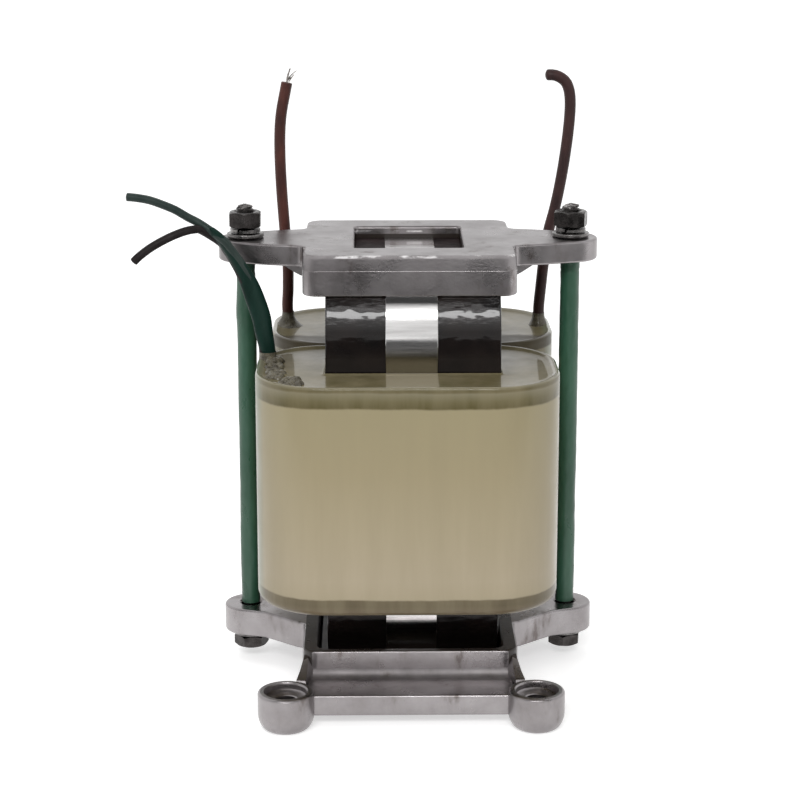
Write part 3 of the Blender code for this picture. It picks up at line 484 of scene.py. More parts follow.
def soft_lamp(name, place, width, depth, power):
    """A rectangular soft lamp that faces the middle of the transformer."""
    light = bpy.data.lights.new(name, "AREA")
    light.shape = "RECTANGLE"
    light.size, light.size_y, light.energy = width, depth, power
    lamp = bpy.data.objects.new(name, light)
    lamp.location = place
    lamp.rotation_euler = (Vector((0, 0, 0.1)) - Vector(place)).to_track_quat("-Z", "Y").to_euler()
    bpy.context.scene.collection.objects.link(lamp)
    return lamp


soft_lamp("window", (-0.1, -1.25, 1.0), 0.9, 0.24, 6)
front_fill = soft_lamp("front_fill", (-0.15, -1.25, 1.0), 0.9, 0.6, 7)
front_fill.visible_glossy = False
overhead = soft_lamp("overhead", (-0.2, 0.25, 1.1), 0.8, 0.8, 4.5)
overhead.visible_glossy = False


# The lower casting, cast aluminium with a tray for the core's foot, a wing for each long bolt, a
# bar along the front and the back with a hollow fillet, and four counterbored lugs.
def arc(centre, radius, start, stop, steps):
    """Points along an arc, from one angle to another in degrees."""
    angles = [radians(start + (stop - start) * i / steps) for i in range(steps + 1)]
    return [(centre[0] + radius * cos(a), centre[1] + radius * sin(a)) for a in angles]


def rounded_plan(half_x, half_y, radius, centre=(0, 0), steps=9):
    """A rectangle with round corners."""
    a, b = half_x - radius, half_y - radius
    points = []
    for x, y, turn in ((a, b, 0), (-a, b, 90), (-a, -b, 180), (a, -b, 270)):
        points += arc((centre[0] + x, centre[1] + y), radius, turn, turn + 90, steps)
    return points


def lying(outline, z):
    """A flat outline laid at a height."""
    return [(x, y, z) for x, y in outline]


def standing(outline, x):
    """An outline in depth and height, stood at a place from left to right."""
    return [(x, y, z) for y, z in outline]


def shrink(points, inset):
    """An outline drawn in by an inset, anticlockwise outlines inwards."""
    drawn = []
    for i, point in enumerate(points):
        here, before, after = Vector(point), Vector(points[i - 1]), Vector(points[(i + 1) % len(points)])
        a, b = (here - before).normalized(), (after - here).normalized()
        na, nb = Vector((a.y, -a.x)), Vector((b.y, -b.x))
        drawn.append(tuple(here - (na + nb) * inset / max(0.3, 1 + na.dot(nb))))
    return drawn


def rolled(low, high, edge, steps=4):
    """Pairs of (inset, height) for a slab whose two rims are rounded."""
    turns = [radians(90 * i / steps) for i in range(steps + 1)]
    up = [(edge * (1 - sin(a)), low + edge * (1 - cos(a))) for a in turns]
    return up + [(edge * (1 - cos(a)), high - edge * (1 - sin(a))) for a in turns]


def skin(name, loops, ring=False):
    """Skins loops of equal length, and caps the ends or joins them."""
    bm = bmesh.new()
    walls(bm, [[bm.verts.new(point) for point in loop] for loop in loops], ring)
    return piece_of(name, bm)


def slab(name, plan, levels):
    """A plate of one plan, drawn in at each level."""
    return skin(name, [lying(shrink(plan, inset), z) for inset, z in levels])


def revolve(name, profile, centre, sides=56):
    """Turns a profile of (radius, height) about an upright axis."""
    bm = bmesh.new()
    rows = []
    for radius, z in profile:
        spots = arc(centre, radius, 0, 360 - 360 / sides, sides - 1) if radius else [centre]
        rows.append([bm.verts.new(point) for point in lying(spots, z)])
    pairs = list(zip(rows, rows[1:]))
    if profile[0][0] > 0:
        pairs.append((rows[-1], rows[0]))
    for low, high in pairs:
        for i in range(sides):
            j = (i + 1) % sides
            ends = [low[i % len(low)], low[j % len(low)], high[j % len(high)], high[i % len(high)]]
            bm.faces.new([v for k, v in enumerate(ends) if v not in ends[:k]])
    bmesh.ops.recalc_face_normals(bm, faces=bm.faces)
    return piece_of(name, bm)


def settle(made):
    """Turns what an object's modifiers make into its own plain mesh."""
    graph = bpy.context.evaluated_depsgraph_get()
    mesh = bpy.data.meshes.new_from_object(made.evaluated_get(graph))
    made.modifiers.clear()
    made.data = mesh


def worked(body, *steps):
    """Joins, cuts or intersects a body with other shapes, step by step, and leaves one plain mesh."""
    groups = []
    for operation, others in steps:
        group = bpy.data.collections.new(operation)
        for other in others:
            group.objects.link(other)
        step = body.modifiers.new(operation, "BOOLEAN")
        step.operation = operation
        step.operand_type = "COLLECTION"
        step.collection = group
        step.solver = "EXACT"
        groups.append(group)
    settle(body)
    body.data.set_sharp_from_angle(angle=radians(35))
    for group in groups:
        for other in list(group.objects):
            bpy.data.objects.remove(other)
        bpy.data.collections.remove(group)
    body.modifiers.new("even_shading", "WEIGHTED_NORMAL").keep_sharp = True
    return body


bolt_x = 53 * mm


def wing_plan(root_x, root_half, neck_setback, neck_half, fillet=3 * mm):
    """Both wings as one strip, each with a hollow root, a straight taper and a round end."""
    side = [(root_x - 2 * mm, root_half + fillet)]
    side += arc((root_x + fillet, root_half + fillet), fillet, 180, 262, 6)
    side.append((bolt_x - neck_setback, neck_half))
    side += arc((bolt_x, 0), 8.7 * mm, 76, 0, 12)
    right = side + [(x, -y) for x, y in reversed(side[:-1])]
    # Clockwise so far, so the strip is turned round for its outline to run anticlockwise.
    return (right + [(-x, -y) for x, y in right])[::-1]


tray_half, tray_foot, tray_top, bar_edge = 34.3 * mm, 3.6 * mm, 18.5 * mm, 0.7 * mm
lower = slab("lower_casting", rounded_plan(tray_half, 47 * mm, 5 * mm), rolled(tray_foot, tray_top, 0.7 * mm))
wings = wing_plan(tray_half, 20 * mm, 5 * mm, 10.6 * mm)
joined = [slab("lower_wings", wings, rolled(9.4 * mm, tray_top, 0.8 * mm))]
bar = [(45 * mm, tray_foot)]
bar += arc((63.5 * mm - bar_edge, tray_foot + bar_edge), bar_edge, -90, 0, 4)
bar += arc((63.5 * mm - bar_edge, 10.2 * mm - bar_edge), bar_edge, 0, 90, 4)
bar += arc((49.6 * mm, 12.8 * mm), 2.6 * mm, 270, 180, 8) + [(45 * mm, 12.8 * mm)]
for way in (-1, 1):
    section = [(way * y, z) for y, z in bar]
    joined.append(skin("bar", [standing(section, x) for x in (-32 * mm, 32 * mm)]))
pocket = []
for grow, z in in_mm((-1.2, 7.6), (-0.4, 7.8), (0, 8.7), (0, 17.7), (0.15, 18.1), (0.7, 18.6), (0.7, 20)):
    pocket.append(lying(rounded_plan(29.3 * mm + grow, 44.2 * mm + grow, 3 * mm + grow), z))
floor_window = slab("floor_window", rounded_plan(17.5 * mm, 17.5 * mm, 1.2 * mm), in_mm((0, 2), (0, 30)))
removed = [skin("pocket", pocket), floor_window]
bolt_hole = in_mm((0, 2), (3.3, 2), (3.3, 17.9), (4.1, 18.7), (0, 18.7))
web = arc((39.3 * mm, 49.5 * mm), 5 * mm, 180, 92, 6)
web += in_mm((38.9, 63.3), (25.5, 63.3), (25.5, 49.5))
# A rib leaves the tray's corner and runs down into the back of the lug.
rib = [
    [(30, 44, 8.5), (34.2, 42, 8.5), (36.6, 55.5, 8.5), (33.0, 56.5, 8.5)],
    [(30, 44, 11.6), (34.25, 42, 11.6), (36.0, 54.0, 11.6), (33.0, 54.5, 11.6)],
    [(30, 44, 13.0), (34.25, 42, 13.0), (35.0, 49.6, 13.0), (32.6, 50.2, 13.0)],
    [(30, 44, 16.5), (33.6, 42.5, 16.5), (33.7, 45.2, 16.5), (32.4, 46.2, 16.5)],
]
leans = [radians(9 * i) for i in range(11)]
lug = [(0, 0)] + [(5.6 * mm + 3.2 * mm * sin(a), 5.2 * mm * (1 - cos(a))) for a in leans]
lug += arc((7.9 * mm, 11.1 * mm), 0.9 * mm, 0, 90, 5) + [(0, 12 * mm)]
counterbore = in_mm(
    (0, -1), (3.25, -1), (3.25, 9.0), (3.8, 9.4), (5.6, 9.5),
    (6.4, 10.1), (6.5, 11.5), (6.9, 11.95), (7.2, 12.6), (0, 12.6),
)
for way_x in (-1, 1):
    removed.append(revolve("bolt_hole", bolt_hole, (way_x * bolt_x, 0)))
    for way_y in (-1, 1):
        spot = (way_x * 38.9 * mm, way_y * 63.3 * mm)
        corner = [(way_x * x, way_y * y) for x, y in web]
        joined.append(skin("web", [lying(corner, z) for z in (4 * mm, 9.8 * mm)]))
        joined.append(skin("rib", [in_mm(*((way_x * x, way_y * y, z) for x, y, z in loop)) for loop in rib]))
        joined.append(revolve("lug", lug, spot))
        removed.append(revolve("counterbore", counterbore, spot))
worked(lower, ("UNION", joined), ("DIFFERENCE", removed))

inside_box, feed, end = shader_group(
    "inside_box", {"Vector": None, "Half": (1, 1, 1), "Low": 0, "High": 1}, "Mask"
)
size = vectors(inside_box, "ABSOLUTE", feed["Vector"])
size = vectors(inside_box, "SUBTRACT", feed["Half"], size)
room_left = put(inside_box, "ShaderNodeSeparateXYZ", Vector=size)
height = put(inside_box, "ShaderNodeSeparateXYZ", Vector=feed["Vector"]).outputs["Z"]
above = maths(inside_box, "SUBTRACT", height, feed["Low"])
below = maths(inside_box, "SUBTRACT", feed["High"], height)
least = maths(inside_box, "MINIMUM", room_left.outputs["X"], room_left.outputs["Y"])
for gap in (above, below):
    least = maths(inside_box, "MINIMUM", least, gap)
plug(inside_box, end, Mask=mapped(inside_box, least, 0, 0.15 * mm))


def in_box(tree, place, half_x, half_y, low, high):
    """A mask for a box round the upright axis, in millimetres."""
    levels = {"Half": (half_x * mm, half_y * mm, 0), "Low": low * mm, "High": high * mm}
    return put(tree, "ShaderNodeGroup", {"node_tree": inside_box}, Vector=place, **levels).outputs["Mask"]


cast_aluminium, tree, shader, place = blank("cast_aluminium")
clean = blend(tree, varied(tree, place, 46, 0, 1), (0.23, 0.213, 0.215), (0.36, 0.34, 0.345))
stained = maths(tree, "POWER", varied(tree, place, 150, 0, 1, (1, 1, 0.5)), 5.0)
wear_and_painted_light = blend(tree, stained, clean, (0.165, 0.145, 0.14))
# The first dark patch, round the left bolt on its wing, is a painted shadow of the green sheath; the other
# two, on the block's front, are stains.
dark_spots = (((-52, 0, 143), 6, 19, 0.75), ((-19, -34, 138), 3, 10, 0.7), ((-33, -32, 137), 1, 7, 0.6))
for middle, near, far, shade in dark_spots:
    away = vectors(tree, "DISTANCE", place, Vector(middle) * mm)
    wash = mapped(tree, away, far * mm, near * mm, 0, shade)
    wash = maths(tree, "MULTIPLY", wash, varied(tree, place, 120, 0.3, 1))
    wear_and_painted_light = blend(tree, wash, wear_and_painted_light, (0.085, 0.075, 0.074))
# A painted highlight: bright glints are painted in patches along the block's front edge.
front_edge = in_box(tree, place, 33.5, 34, 141.9, 142.75)
edge_glint_noise = varied(tree, place, 170, -2.2, 2.0, (0.5, 1, 1))
clamped = {"operation": "MULTIPLY", "use_clamp": True}
painted_edge_glints = put(tree, "ShaderNodeMath", clamped, i0=edge_glint_noise, i1=front_edge)
wear_and_painted_light = blend(tree, painted_edge_glints.outputs[0], wear_and_painted_light, (0.85, 0.83, 0.83))
# The tray and the upper window are painted near black and not metallic: painted shade in these hollows.
tray = in_box(tree, place, 33.9, 46.7, 5, 18.8)
well = in_box(tree, place, 17.75, 17.75, 130, 141.5)
shaded_hollows = maths(tree, "MAXIMUM", tray, well)
crease = maths(tree, "MULTIPLY", in_box(tree, place, 31.5, 50.2, 9.9, 12.9), 0.30)
sheen = maths(tree, "ADD", varied(tree, place, 70, 0.24, 0.38), crease)
wear_and_painted_light = blend(tree, shaded_hollows, wear_and_painted_light, (0.022, 0.016, 0.013))
plug(tree, shader, Metallic=maths(tree, "SUBTRACT", 1, shaded_hollows), Base_Color=wear_and_painted_light, Roughness=sheen)
roughened(tree, shader, place, 1100, 0.5, 0.14, 0.0003)
mount_piece(lower, cast_aluminium, "cast_aluminium", "bottom_clamp")

# The core, wound from thin steel strip, soaked in varnish and cut into two halves. The strip's
# edges show as fine lines on its sides, and the varnish lies thick and wrinkled on the shoulder.
core_middle, turn_y, turn_z, turn_radius = 72.9 * mm, 16 * mm, 43.5 * mm, 21.5 * mm


def wrinkled(x, y, z):
    """A point of the core's outline, moved a little where the varnish on the shoulder wrinkles."""
    side = copysign(turn_y, y)
    out = Vector((y - side, z - turn_z))
    if abs(y) <= turn_y or z <= turn_z or out.length <= 15 * mm:
        return y, z
    wrinkle = noise.noise(Vector((x * 330, y * 620, z * 620)))
    wrinkle += 0.6 * noise.noise(Vector((x * 700, y * 1300, z * 1100)))
    out += out.normalized() * 0.07 * mm * wrinkle
    return side + out.x, turn_z + out.y


def core_half(name, way):
    """One U of the core, whose cut faces the other half."""
    cut, inner_y = 0.5 * mm, 17.5 * mm
    arch = [(37.5 * mm, cut)]
    arch += arc((turn_y, turn_z), turn_radius, 0, 90, 60) + arc((-turn_y, turn_z), turn_radius, 90, 180, 60)
    arch += [(-37.5 * mm, cut), (-inner_y, cut)]
    arch += arc((-turn_y, turn_z), 1.5 * mm, 180, 90, 4) + arc((turn_y, turn_z), 1.5 * mm, 90, 0, 4)
    arch.append((inner_y, cut))
    rims = rolled(-26.5 * mm, 28.5 * mm, 0.6 * mm)
    levels = rims[:5] + [(0, (-25.9 + 53.8 * i / 60) * mm) for i in range(1, 60)] + rims[5:]
    loops = []
    for inset, x in levels:
        outline = [wrinkled(x, y, z) for y, z in shrink(arch, inset)]
        loops.append([(x, y, core_middle + way * z) for y, z in outline])
    return skin(name, loops)


varnish, tree, shader, place = blank("core_varnish")
split = put(tree, "ShaderNodeSeparateXYZ", Vector=place).outputs
side_y = maths(tree, "ABSOLUTE", split["Y"])
side_z = maths(tree, "ABSOLUTE", maths(tree, "SUBTRACT", split["Z"], core_middle))
out_y = maths(tree, "MAXIMUM", maths(tree, "SUBTRACT", side_y, turn_y), 0)
out_z = maths(tree, "MAXIMUM", maths(tree, "SUBTRACT", side_z, turn_z), 0)
reach = vectors(tree, "LENGTH", put(tree, "ShaderNodeCombineXYZ", X=out_y, Y=out_z).outputs[0])
strip_pitch = 0.8 * mm
lines = maths(tree, "SINE", maths(tree, "MULTIPLY", reach, 2 * pi / strip_pitch))
thick = mapped(tree, side_z, 47 * mm, 52 * mm, 0.06, 1.0)
lumps = maths(tree, "MULTIPLY", varied(tree, place, 420, 0, 1, (0.45, 1, 1)), thick)
height = maths(tree, "MULTIPLY_ADD", lines, 0.03, lumps)
bump = put(tree, "ShaderNodeBump", Height=height, Strength=0.6, Distance=0.0003)
black = blend(tree, varied(tree, place, 90, 0, 1), (0.006, 0.005, 0.005), (0.014, 0.010, 0.009))
plug(tree, shader, Normal=bump.outputs["Normal"], Base_Color=black, Specular_IOR_Level=0.22,
     Roughness=varied(tree, place, 160, 0.08, 0.18), Coat_Weight=thick, Coat_Roughness=0.05)
for name, way, node in (("core_top_half", 1, "core_upper"), ("core_foot_half", -1, "core_lower")):
    half = core_half(name, way)
    half.modifiers.new("even_shading", "WEIGHTED_NORMAL").keep_sharp = True
    mount_piece(half, varnish, "core_varnish", node)

board = two_toned("insulation_board", (0.20, 0.14, 0.07), (0.34, 0.25, 0.14), (500, (1, 0.15, 1)),
                  (300, 0.45, 0.7), (1800, 0.2, 0.3, 0.0002))


def dress_node(node, material):
    """Gives a CAD node that shows as it is its finished material."""
    made = frame["nodes"][node]
    made.data.materials.clear()
    made.data.materials.append(material)


for node in ("gap_shim_front", "gap_shim_rear", "front_coil_pad", "rear_coil_pad"):
    dress_node(node, board)

# The steel band is pulled tight round both halves of the core, and its ends are gripped by a
# folded seal under the foot. It is bright rolled strip with sheared edges.
bright_steel, tree, shader, place = blank("bright_strip")
rub = varied(tree, place, 700, 0, 1, (0.06, 1, 1))
rolled_steel = blend(tree, rub, (0.56, 0.55, 0.545), (0.74, 0.73, 0.725))
height = put(tree, "ShaderNodeSeparateXYZ", Vector=place).outputs["Z"]
# Where the band rises out of the coils it is painted olive brown, a painted reflection of the coil resin
# below it.
low_down = mapped(tree, height, 115.5 * mm, 112 * mm)
top_half = mapped(tree, height, 60 * mm, 61 * mm)
steel_and_painted_reflection = blend(tree, maths(tree, "MULTIPLY", low_down, top_half), rolled_steel, (0.17, 0.15, 0.105))
plug(tree, shader, Metallic=1, Base_Color=steel_and_painted_reflection, Roughness=varied(tree, place, 500, 0.10, 0.20, (0.06, 1, 1)))
roughened(tree, shader, place, 500, 0.0, 0.06, 0.0002)


def core_loop(offset):
    """The core's outer outline in depth and height, grown by an offset."""
    half_y, half_z = 37.5 * mm + offset, 65 * mm + offset
    return rounded_plan(half_y, half_z, turn_radius + offset, (0, core_middle), 24)


low_x, high_x = 0.5 * mm - 8.15 * mm, 0.5 * mm + 8.15 * mm
inner, shoulder, outer, nick = core_loop(0.3 * mm), core_loop(0.68 * mm), core_loop(0.8 * mm), 0.12 * mm
section = [
    (inner, low_x), (inner, high_x), (shoulder, high_x), (outer, high_x - nick), (outer, low_x + nick),
    (shoulder, low_x),
]
band = skin("steel_band", [standing(outline, x) for outline, x in section], ring=True)
mount_piece(band, bright_steel, "bright_steel", "core_band")
dress_node("band_seal", bright_steel)

# The coils, each wound on a former round one leg, wrapped and cast in yellowish resin. The cream
# wrap shows through the clear sides, and the resin above and below it is a darker olive.
coil_foot, coil_top, ledge = 34.3 * mm, 107.6 * mm, 106.4 * mm
resin, tree, shader, place = blank("potting_resin")
split = put(tree, "ShaderNodeSeparateXYZ", Vector=place).outputs
wander = varied(tree, place, 60, -0.25 * mm, 0.25 * mm, (1, 1, 0.2))
level = maths(tree, "ADD", split["Z"], wander)
stops = [
    (34.3, (0.25, 0.21, 0.15)), (35.6, (0.14, 0.105, 0.062)), (38.0, (0.098, 0.076, 0.038)),
    (39.8, (0.11, 0.084, 0.044)), (40.2, (0.385, 0.325, 0.22)), (46.0, (0.41, 0.345, 0.24)),
    (62.0, (0.385, 0.325, 0.212)), (80.0, (0.355, 0.30, 0.185)), (100.6, (0.33, 0.285, 0.17)),
    (101.1, (0.078, 0.064, 0.020)), (103.2, (0.12, 0.103, 0.046)), (105.6, (0.20, 0.18, 0.115)),
    (106.3, (0.10, 0.082, 0.034)), (107.5, (0.15, 0.135, 0.08)),
]
stops = [((z * mm - coil_foot) / (coil_top - coil_foot), colour) for z, colour in stops]
layers = ramp(tree, mapped(tree, level, coil_foot, coil_top), stops)
layers = blend(tree, varied(tree, place, 130, 0, 0.35, (1, 1, 0.12)), layers, (0.30, 0.255, 0.16))
# Near the coils' left and right sides the resin is tinted pale green: painted rim light for the bright edges
# of the clear resin.
clear = mapped(tree, maths(tree, "ABSOLUTE", split["X"]), 45.6 * mm, 47.4 * mm, 0, 0.8)
layers = blend(tree, clear, layers, (0.20, 0.215, 0.14))
# A lighter strip on the front coil's top, just in front of the band, is a painted reflection of the band.
band_reflection_place = vectors(tree, "SUBTRACT", place, (0.5 * mm, -48.4 * mm, 0))
layers = blend(tree, in_box(tree, band_reflection_place, 8.2, 10.2, 106, 107.3), layers, (0.25, 0.22, 0.155))
# Between the two coils the rear one's rim is painted dark brown, a painted shade where the front coil shades
# it, and it is dull there.
ragged = maths(tree, "ADD", split["Y"], varied(tree, place, 110, -1.5 * mm, 1.5 * mm))
between = mapped(tree, split["Y"], 0, 0.5 * mm)
between = maths(tree, "MULTIPLY", between, mapped(tree, ragged, 18.5 * mm, 16.5 * mm))
shaded_rim = maths(tree, "MULTIPLY", mapped(tree, level, 103.4 * mm, 103.9 * mm), between)
layers = blend(tree, maths(tree, "MULTIPLY", shaded_rim, 0.85), layers, (0.055, 0.045, 0.030))
bead = mapped(tree, split["Z"], 107.0 * mm, 107.3 * mm, 0, 0.58)
glaze = maths(tree, "ADD", mapped(tree, shaded_rim, 0, 1, 0.42, 0.02), bead)
plug(tree, shader, Base_Color=layers, Coat_Weight=glaze, Roughness=varied(tree, place, 90, 0.30, 0.45),
     Specular_IOR_Level=0.15, Coat_Roughness=0.04)
roughened(tree, shader, place, 240, 0.1, 0.08, 0.0004)

winding_wrap = two_toned("winding_wrap", (0.46, 0.40, 0.26), (0.62, 0.55, 0.38), (260, (0.1, 0.1, 1)),
                         (300, 0.4, 0.6), (1500, 0.1, 0.3, 0.0003))
for end_name, way, shift in (("front", -1, -0.8 * mm), ("rear", 1, 1.8 * mm)):
    leg = (1 * mm, way * 27.5 * mm)
    plan = rounded_plan(47.6 * mm, 29.6 * mm, 22.5 * mm, (shift, way * 30.2 * mm), 18)
    bore = rounded_plan(29.8 * mm, 12.8 * mm, 1.8 * mm, leg, 18)
    lip = rounded_plan(27.65 * mm, 10.55 * mm, 0.6 * mm, (1 * mm, way * 27.95 * mm), 18)
    levels = rolled(coil_foot, 80 * mm, 3 * mm, 8)[:9] + rolled(60 * mm, coil_top, 0.9 * mm, 8)[9:]
    levels += in_mm((1.3, 107.57), (1.7, 107.4), (2.3, 107.0), (3.2, 106.75), (4.6, 106.62))
    loops = [lying(bore, coil_foot)]
    loops += [lying(shrink(plan, inset), z) for inset, z in levels]
    loops += [lying(shrink(lip, inset), z) for inset, z in in_mm((-1.6, 106.6), (-0.5, 106.7), (0, 107.0))]
    loops += [lying(lip, ledge), lying(bore, ledge)]
    coil = skin(f"{end_name}_potted_coil", loops, ring=True)
    mount_piece(coil, resin, "potting_resin", f"{end_name}_coil_resin")
    dress_node(f"{end_name}_coil_winding", winding_wrap)
    outside = rounded_plan(29.5 * mm, 12.5 * mm, 1.5 * mm, leg)
    inside = rounded_plan(28.3 * mm, 11.3 * mm, 0.6 * mm, leg)
    tube = [(outside, 34.4), (outside, 106.2), (inside, 106.2), (inside, 34.4)]
    former = skin(f"{end_name}_former", [lying(outline, z * mm) for outline, z in tube], ring=True)
    mount_piece(former, board, "insulation_board", f"{end_name}_coil_former")


def grown(name, tree, **values):
    """Runs a node tree with the given inputs and keeps its result as a plain mesh."""
    made = bpy.data.objects.new(name, bpy.data.meshes.new(name))
    bpy.context.scene.collection.objects.link(made)
    step = made.modifiers.new("pattern", "NODES")
    step.node_group = tree
    for item in tree.interface.items_tree:
        if item.in_out == "INPUT" and item.name in values:
            step[item.identifier] = values[item.name]
    settle(made)
    return made


def pattern(name, **kinds):
    """An empty geometry tree with its named inputs, and the sockets that give them out."""
    tree = bpy.data.node_groups.new(name, "GeometryNodeTree")
    for label, kind in kinds.items():
        tree.interface.new_socket(label, in_out="INPUT", socket_type=f"NodeSocket{kind}")
    tree.interface.new_socket("Geometry", in_out="OUTPUT", socket_type="NodeSocketGeometry")
    return tree, tree.nodes.new("NodeGroupInput").outputs


def send_out(tree, feed, geometry):
    """Makes a pattern real, gives it its material and ends the tree."""
    real = put(tree, "GeometryNodeRealizeInstances", Geometry=geometry)
    coated = put(tree, "GeometryNodeSetMaterial", Geometry=real.outputs[0], Material=feed["Material"])
    put(tree, "NodeGroupOutput", i0=coated.outputs[0])


# Blobs of resin, scattered over a patch and run together.
lump_tree, feed = pattern(
    "resin_lumps", Centre="Vector", Spread="Vector", Count="Int", Smallest="Float", Largest="Float",
    Seed="Int", Fineness="Float", Material="Material",
)
cube = {"i0": (-1, -1, -1), "i1": (1, 1, 1), "Seed": feed["Seed"]}
anywhere = put(lump_tree, "FunctionNodeRandomValue", {"data_type": "FLOAT_VECTOR"}, **cube)
spot = vectors(lump_tree, "MULTIPLY", anywhere.outputs[0], feed["Spread"])
spot = vectors(lump_tree, "ADD", spot, feed["Centre"])
sizes = {"i2": feed["Smallest"], "i3": feed["Largest"], "Seed": feed["Seed"]}
radius = put(lump_tree, "FunctionNodeRandomValue", **sizes).outputs[1]
points = put(lump_tree, "GeometryNodePoints", Count=feed["Count"], Position=spot, Radius=radius)
by_size = {"resolution_mode": "VOXEL_SIZE"}
cloud = put(lump_tree, "GeometryNodePointsToVolume", by_size, Points=points.outputs[0], Radius=radius)
plug(lump_tree, cloud, Voxel_Size=feed["Fineness"])
fused = put(lump_tree, "GeometryNodeVolumeToMesh", Volume=cloud.outputs[0], Threshold=0.1)
soft = put(lump_tree, "GeometryNodeSetShadeSmooth", Geometry=fused.outputs[0])
send_out(lump_tree, feed, soft.outputs[0])

rough_resin = two_toned("rough_resin", (0.045, 0.038, 0.026), (0.15, 0.135, 0.095), (500,), (700, 0.15, 0.4),
                        (1500, 0.3, 0.3, 0.0003))
for name, centre, spread, count, seed in (
    ("lumps_at_the_sheath", (-42.6, -23.0, 107.0), (2.4, 4.0, 0.7), 30, 3),
    ("lumps_along_the_corner", (-42.4, -36, 106.6), (2.6, 9.0, 0.4), 60, 8),
    ("lumps_at_the_front", (-37.2, -49.2, 106.6), (3.2, 3.8, 0.3), 34, 5),
):
    lumps = grown(name, lump_tree, Centre=Vector(centre) * mm, Spread=Vector(spread) * mm, Count=count,
                  Smallest=0.7 * mm, Largest=1.5 * mm, Seed=seed, Fineness=0.22 * mm, Material=rough_resin)
    mount_piece(lumps, rough_resin, "potting_resin")
# A collar of resin has crept up each cord from the coil's dished top.
collar_foot = 106.4
for name, centre, radius, base, top in (
    ("collar_left_lead", (-40.7, 33.5), 2.05, 5.2, 111.6),
    ("collar_right_lead", (45.6, 33.5), 2.05, 3.6, 111.0),
    ("collar_sheath", (-45.3, -19.6), 2.75, 3.0, 109.8),
):
    profile = [(radius, collar_foot)]
    for share in (i / 8 for i in range(9)):
        flare = (base - radius) * (1 - share) ** 2.2
        profile.append((radius + flare, collar_foot + (top - collar_foot) * share))
    collar = revolve(name, in_mm(*profile), (centre[0] * mm, centre[1] * mm), 40)
    mount_piece(collar, rough_resin, "potting_resin")

# The upper casting is the same aluminium: a block with a sloped shoulder, a window over the band
# and a hollow cradle below that sits on the core, with a flush wing for each bolt.
block_half, block_top = 33.7 * mm, 143.5 * mm
block_levels = [(inset, inset, z) for inset, z in rolled(131.2 * mm, block_top, 0.6 * mm)[:5]]
block_levels += in_mm(
    (0, 0, 139.2), (0.02, 0.12, 139.4), (0.1, 2.9, 142.4), (0.25, 3.5, 143.0), (0.5, 4.1, 143.35),
    (0.9, 4.8, 143.5),
)
block = []
for inset_x, inset_y, z in block_levels:
    plan = rounded_plan(block_half - inset_x, 33.4 * mm - inset_y, 4.5 * mm, (0, -0.4 * mm))
    block.append(lying(plan, z))
upper = skin("upper_casting", block)
wings = wing_plan(block_half, 13.5 * mm, 8.5 * mm, 11.8 * mm)
joined = [slab("upper_wings", wings, rolled(136.5 * mm, block_top, 0.7 * mm))]
ramp_side = in_mm((31.7, 137.5), (31.7, 133.1), (34.7, 133.1), (36.4, 134.0), (40.2, 136.5), (40.2, 137.5))
for way in (-1, 1):
    joined.append(skin("ramp", [[(way * x, y, z) for x, z in ramp_side] for y in (-11.2 * mm, 11.2 * mm)]))
cradle = skin("cradle", [standing(core_loop(0.3 * mm), x) for x in (-27.2 * mm, 29.2 * mm)])
groove = skin("groove", [standing(core_loop(0.95 * mm), x) for x in (-8.85 * mm, 9.85 * mm)])
window_levels = in_mm((0, 100), (0, 142.7), (-0.15, 143.1), (-0.7, 143.6), (-0.7, 146))
window = slab("window", rounded_plan(17.5 * mm, 17.5 * mm, 1.4 * mm), window_levels)
removed = [cradle, groove, window]
for way in (-1, 1):
    hole = in_mm((0, 130), (3.3, 130), (3.3, 146), (0, 146))
    removed.append(revolve("bolt_hole", hole, (way * bolt_x, 0)))
# The nuts were tightened one after the other, so the block sits a little lower at its front.
pivot = Matrix.Translation((0, 0, 140 * mm))
nose_down = pivot @ Matrix.Rotation(radians(1.5), 4, "X") @ pivot.inverted()
for part in (upper, *joined, window):
    part.data.transform(nose_down)
worked(upper, ("UNION", joined), ("DIFFERENCE", removed))
mount_piece(upper, cast_aluminium, "cast_aluminium", "top_clamp")

# Varnish has pooled on the core inside the window, and the band laps over itself there.
pool_varnish = two_toned("pooled_varnish", (0.007, 0.005, 0.005), (0.022, 0.015, 0.015), (120,),
                         (200, 0.4, 0.6), (400, 0.1, 0.2, 0.0003), Specular_IOR_Level=0.03)
pool_plan = rounded_plan(17.42 * mm, 17.42 * mm, 1.4 * mm)
pool = slab("pooled_varnish", pool_plan, in_mm((0, 138.6), (0, 139.75), (0.25, 139.9)))
mount_piece(pool, pool_varnish, "core_varnish")
lap_y = 17.3 * mm
lap_plan = [(low_x, -lap_y), (high_x, -lap_y), (high_x, lap_y), (low_x, lap_y)]
lap = slab("band_lap", lap_plan, [(0, 139.7 * mm), (0, 140.15 * mm), (nick, 140.25 * mm)])
mount_piece(lap, bright_steel, "bright_steel")


# The two long bolts pull the castings together. Each shank wears a green sleeve, shrunk on by
# hand so that it isn't quite even; the head carries a flat washer, and the top a flat washer, a spring washer
# and a nut.
def hexagon(name, x, low, high, turn):
    """A hexagon bar, and the turned shape that takes its corners off at both ends."""
    corner = 5 * mm / cos(radians(30))
    turns = [turn + radians(60 * i) for i in range(6)]
    plan = [(x + corner * cos(a), corner * sin(a)) for a in turns]
    bar = slab(name, plan, rolled(low, high, 0.12 * mm, 2))
    drop, flat, past = 0.65 * mm, 4.7 * mm, 0.001 * mm
    profile = [(0, low - mm), (flat, low - past), (corner, low + drop)]
    profile += [(corner, high - drop), (flat, high + past), (0, high + mm)]
    return bar, revolve("turned_blank", profile, (x, 0), 72)


def steel(name, dark, light, rough, coarse=0.3):
    """Plain fastener steel with stains and turning marks."""
    stains = (420, rough - 0.08, rough + 0.14)
    return two_toned(name, dark, light, (260,), stains, (1700, 0.4, coarse, 0.0002), Metallic=1)


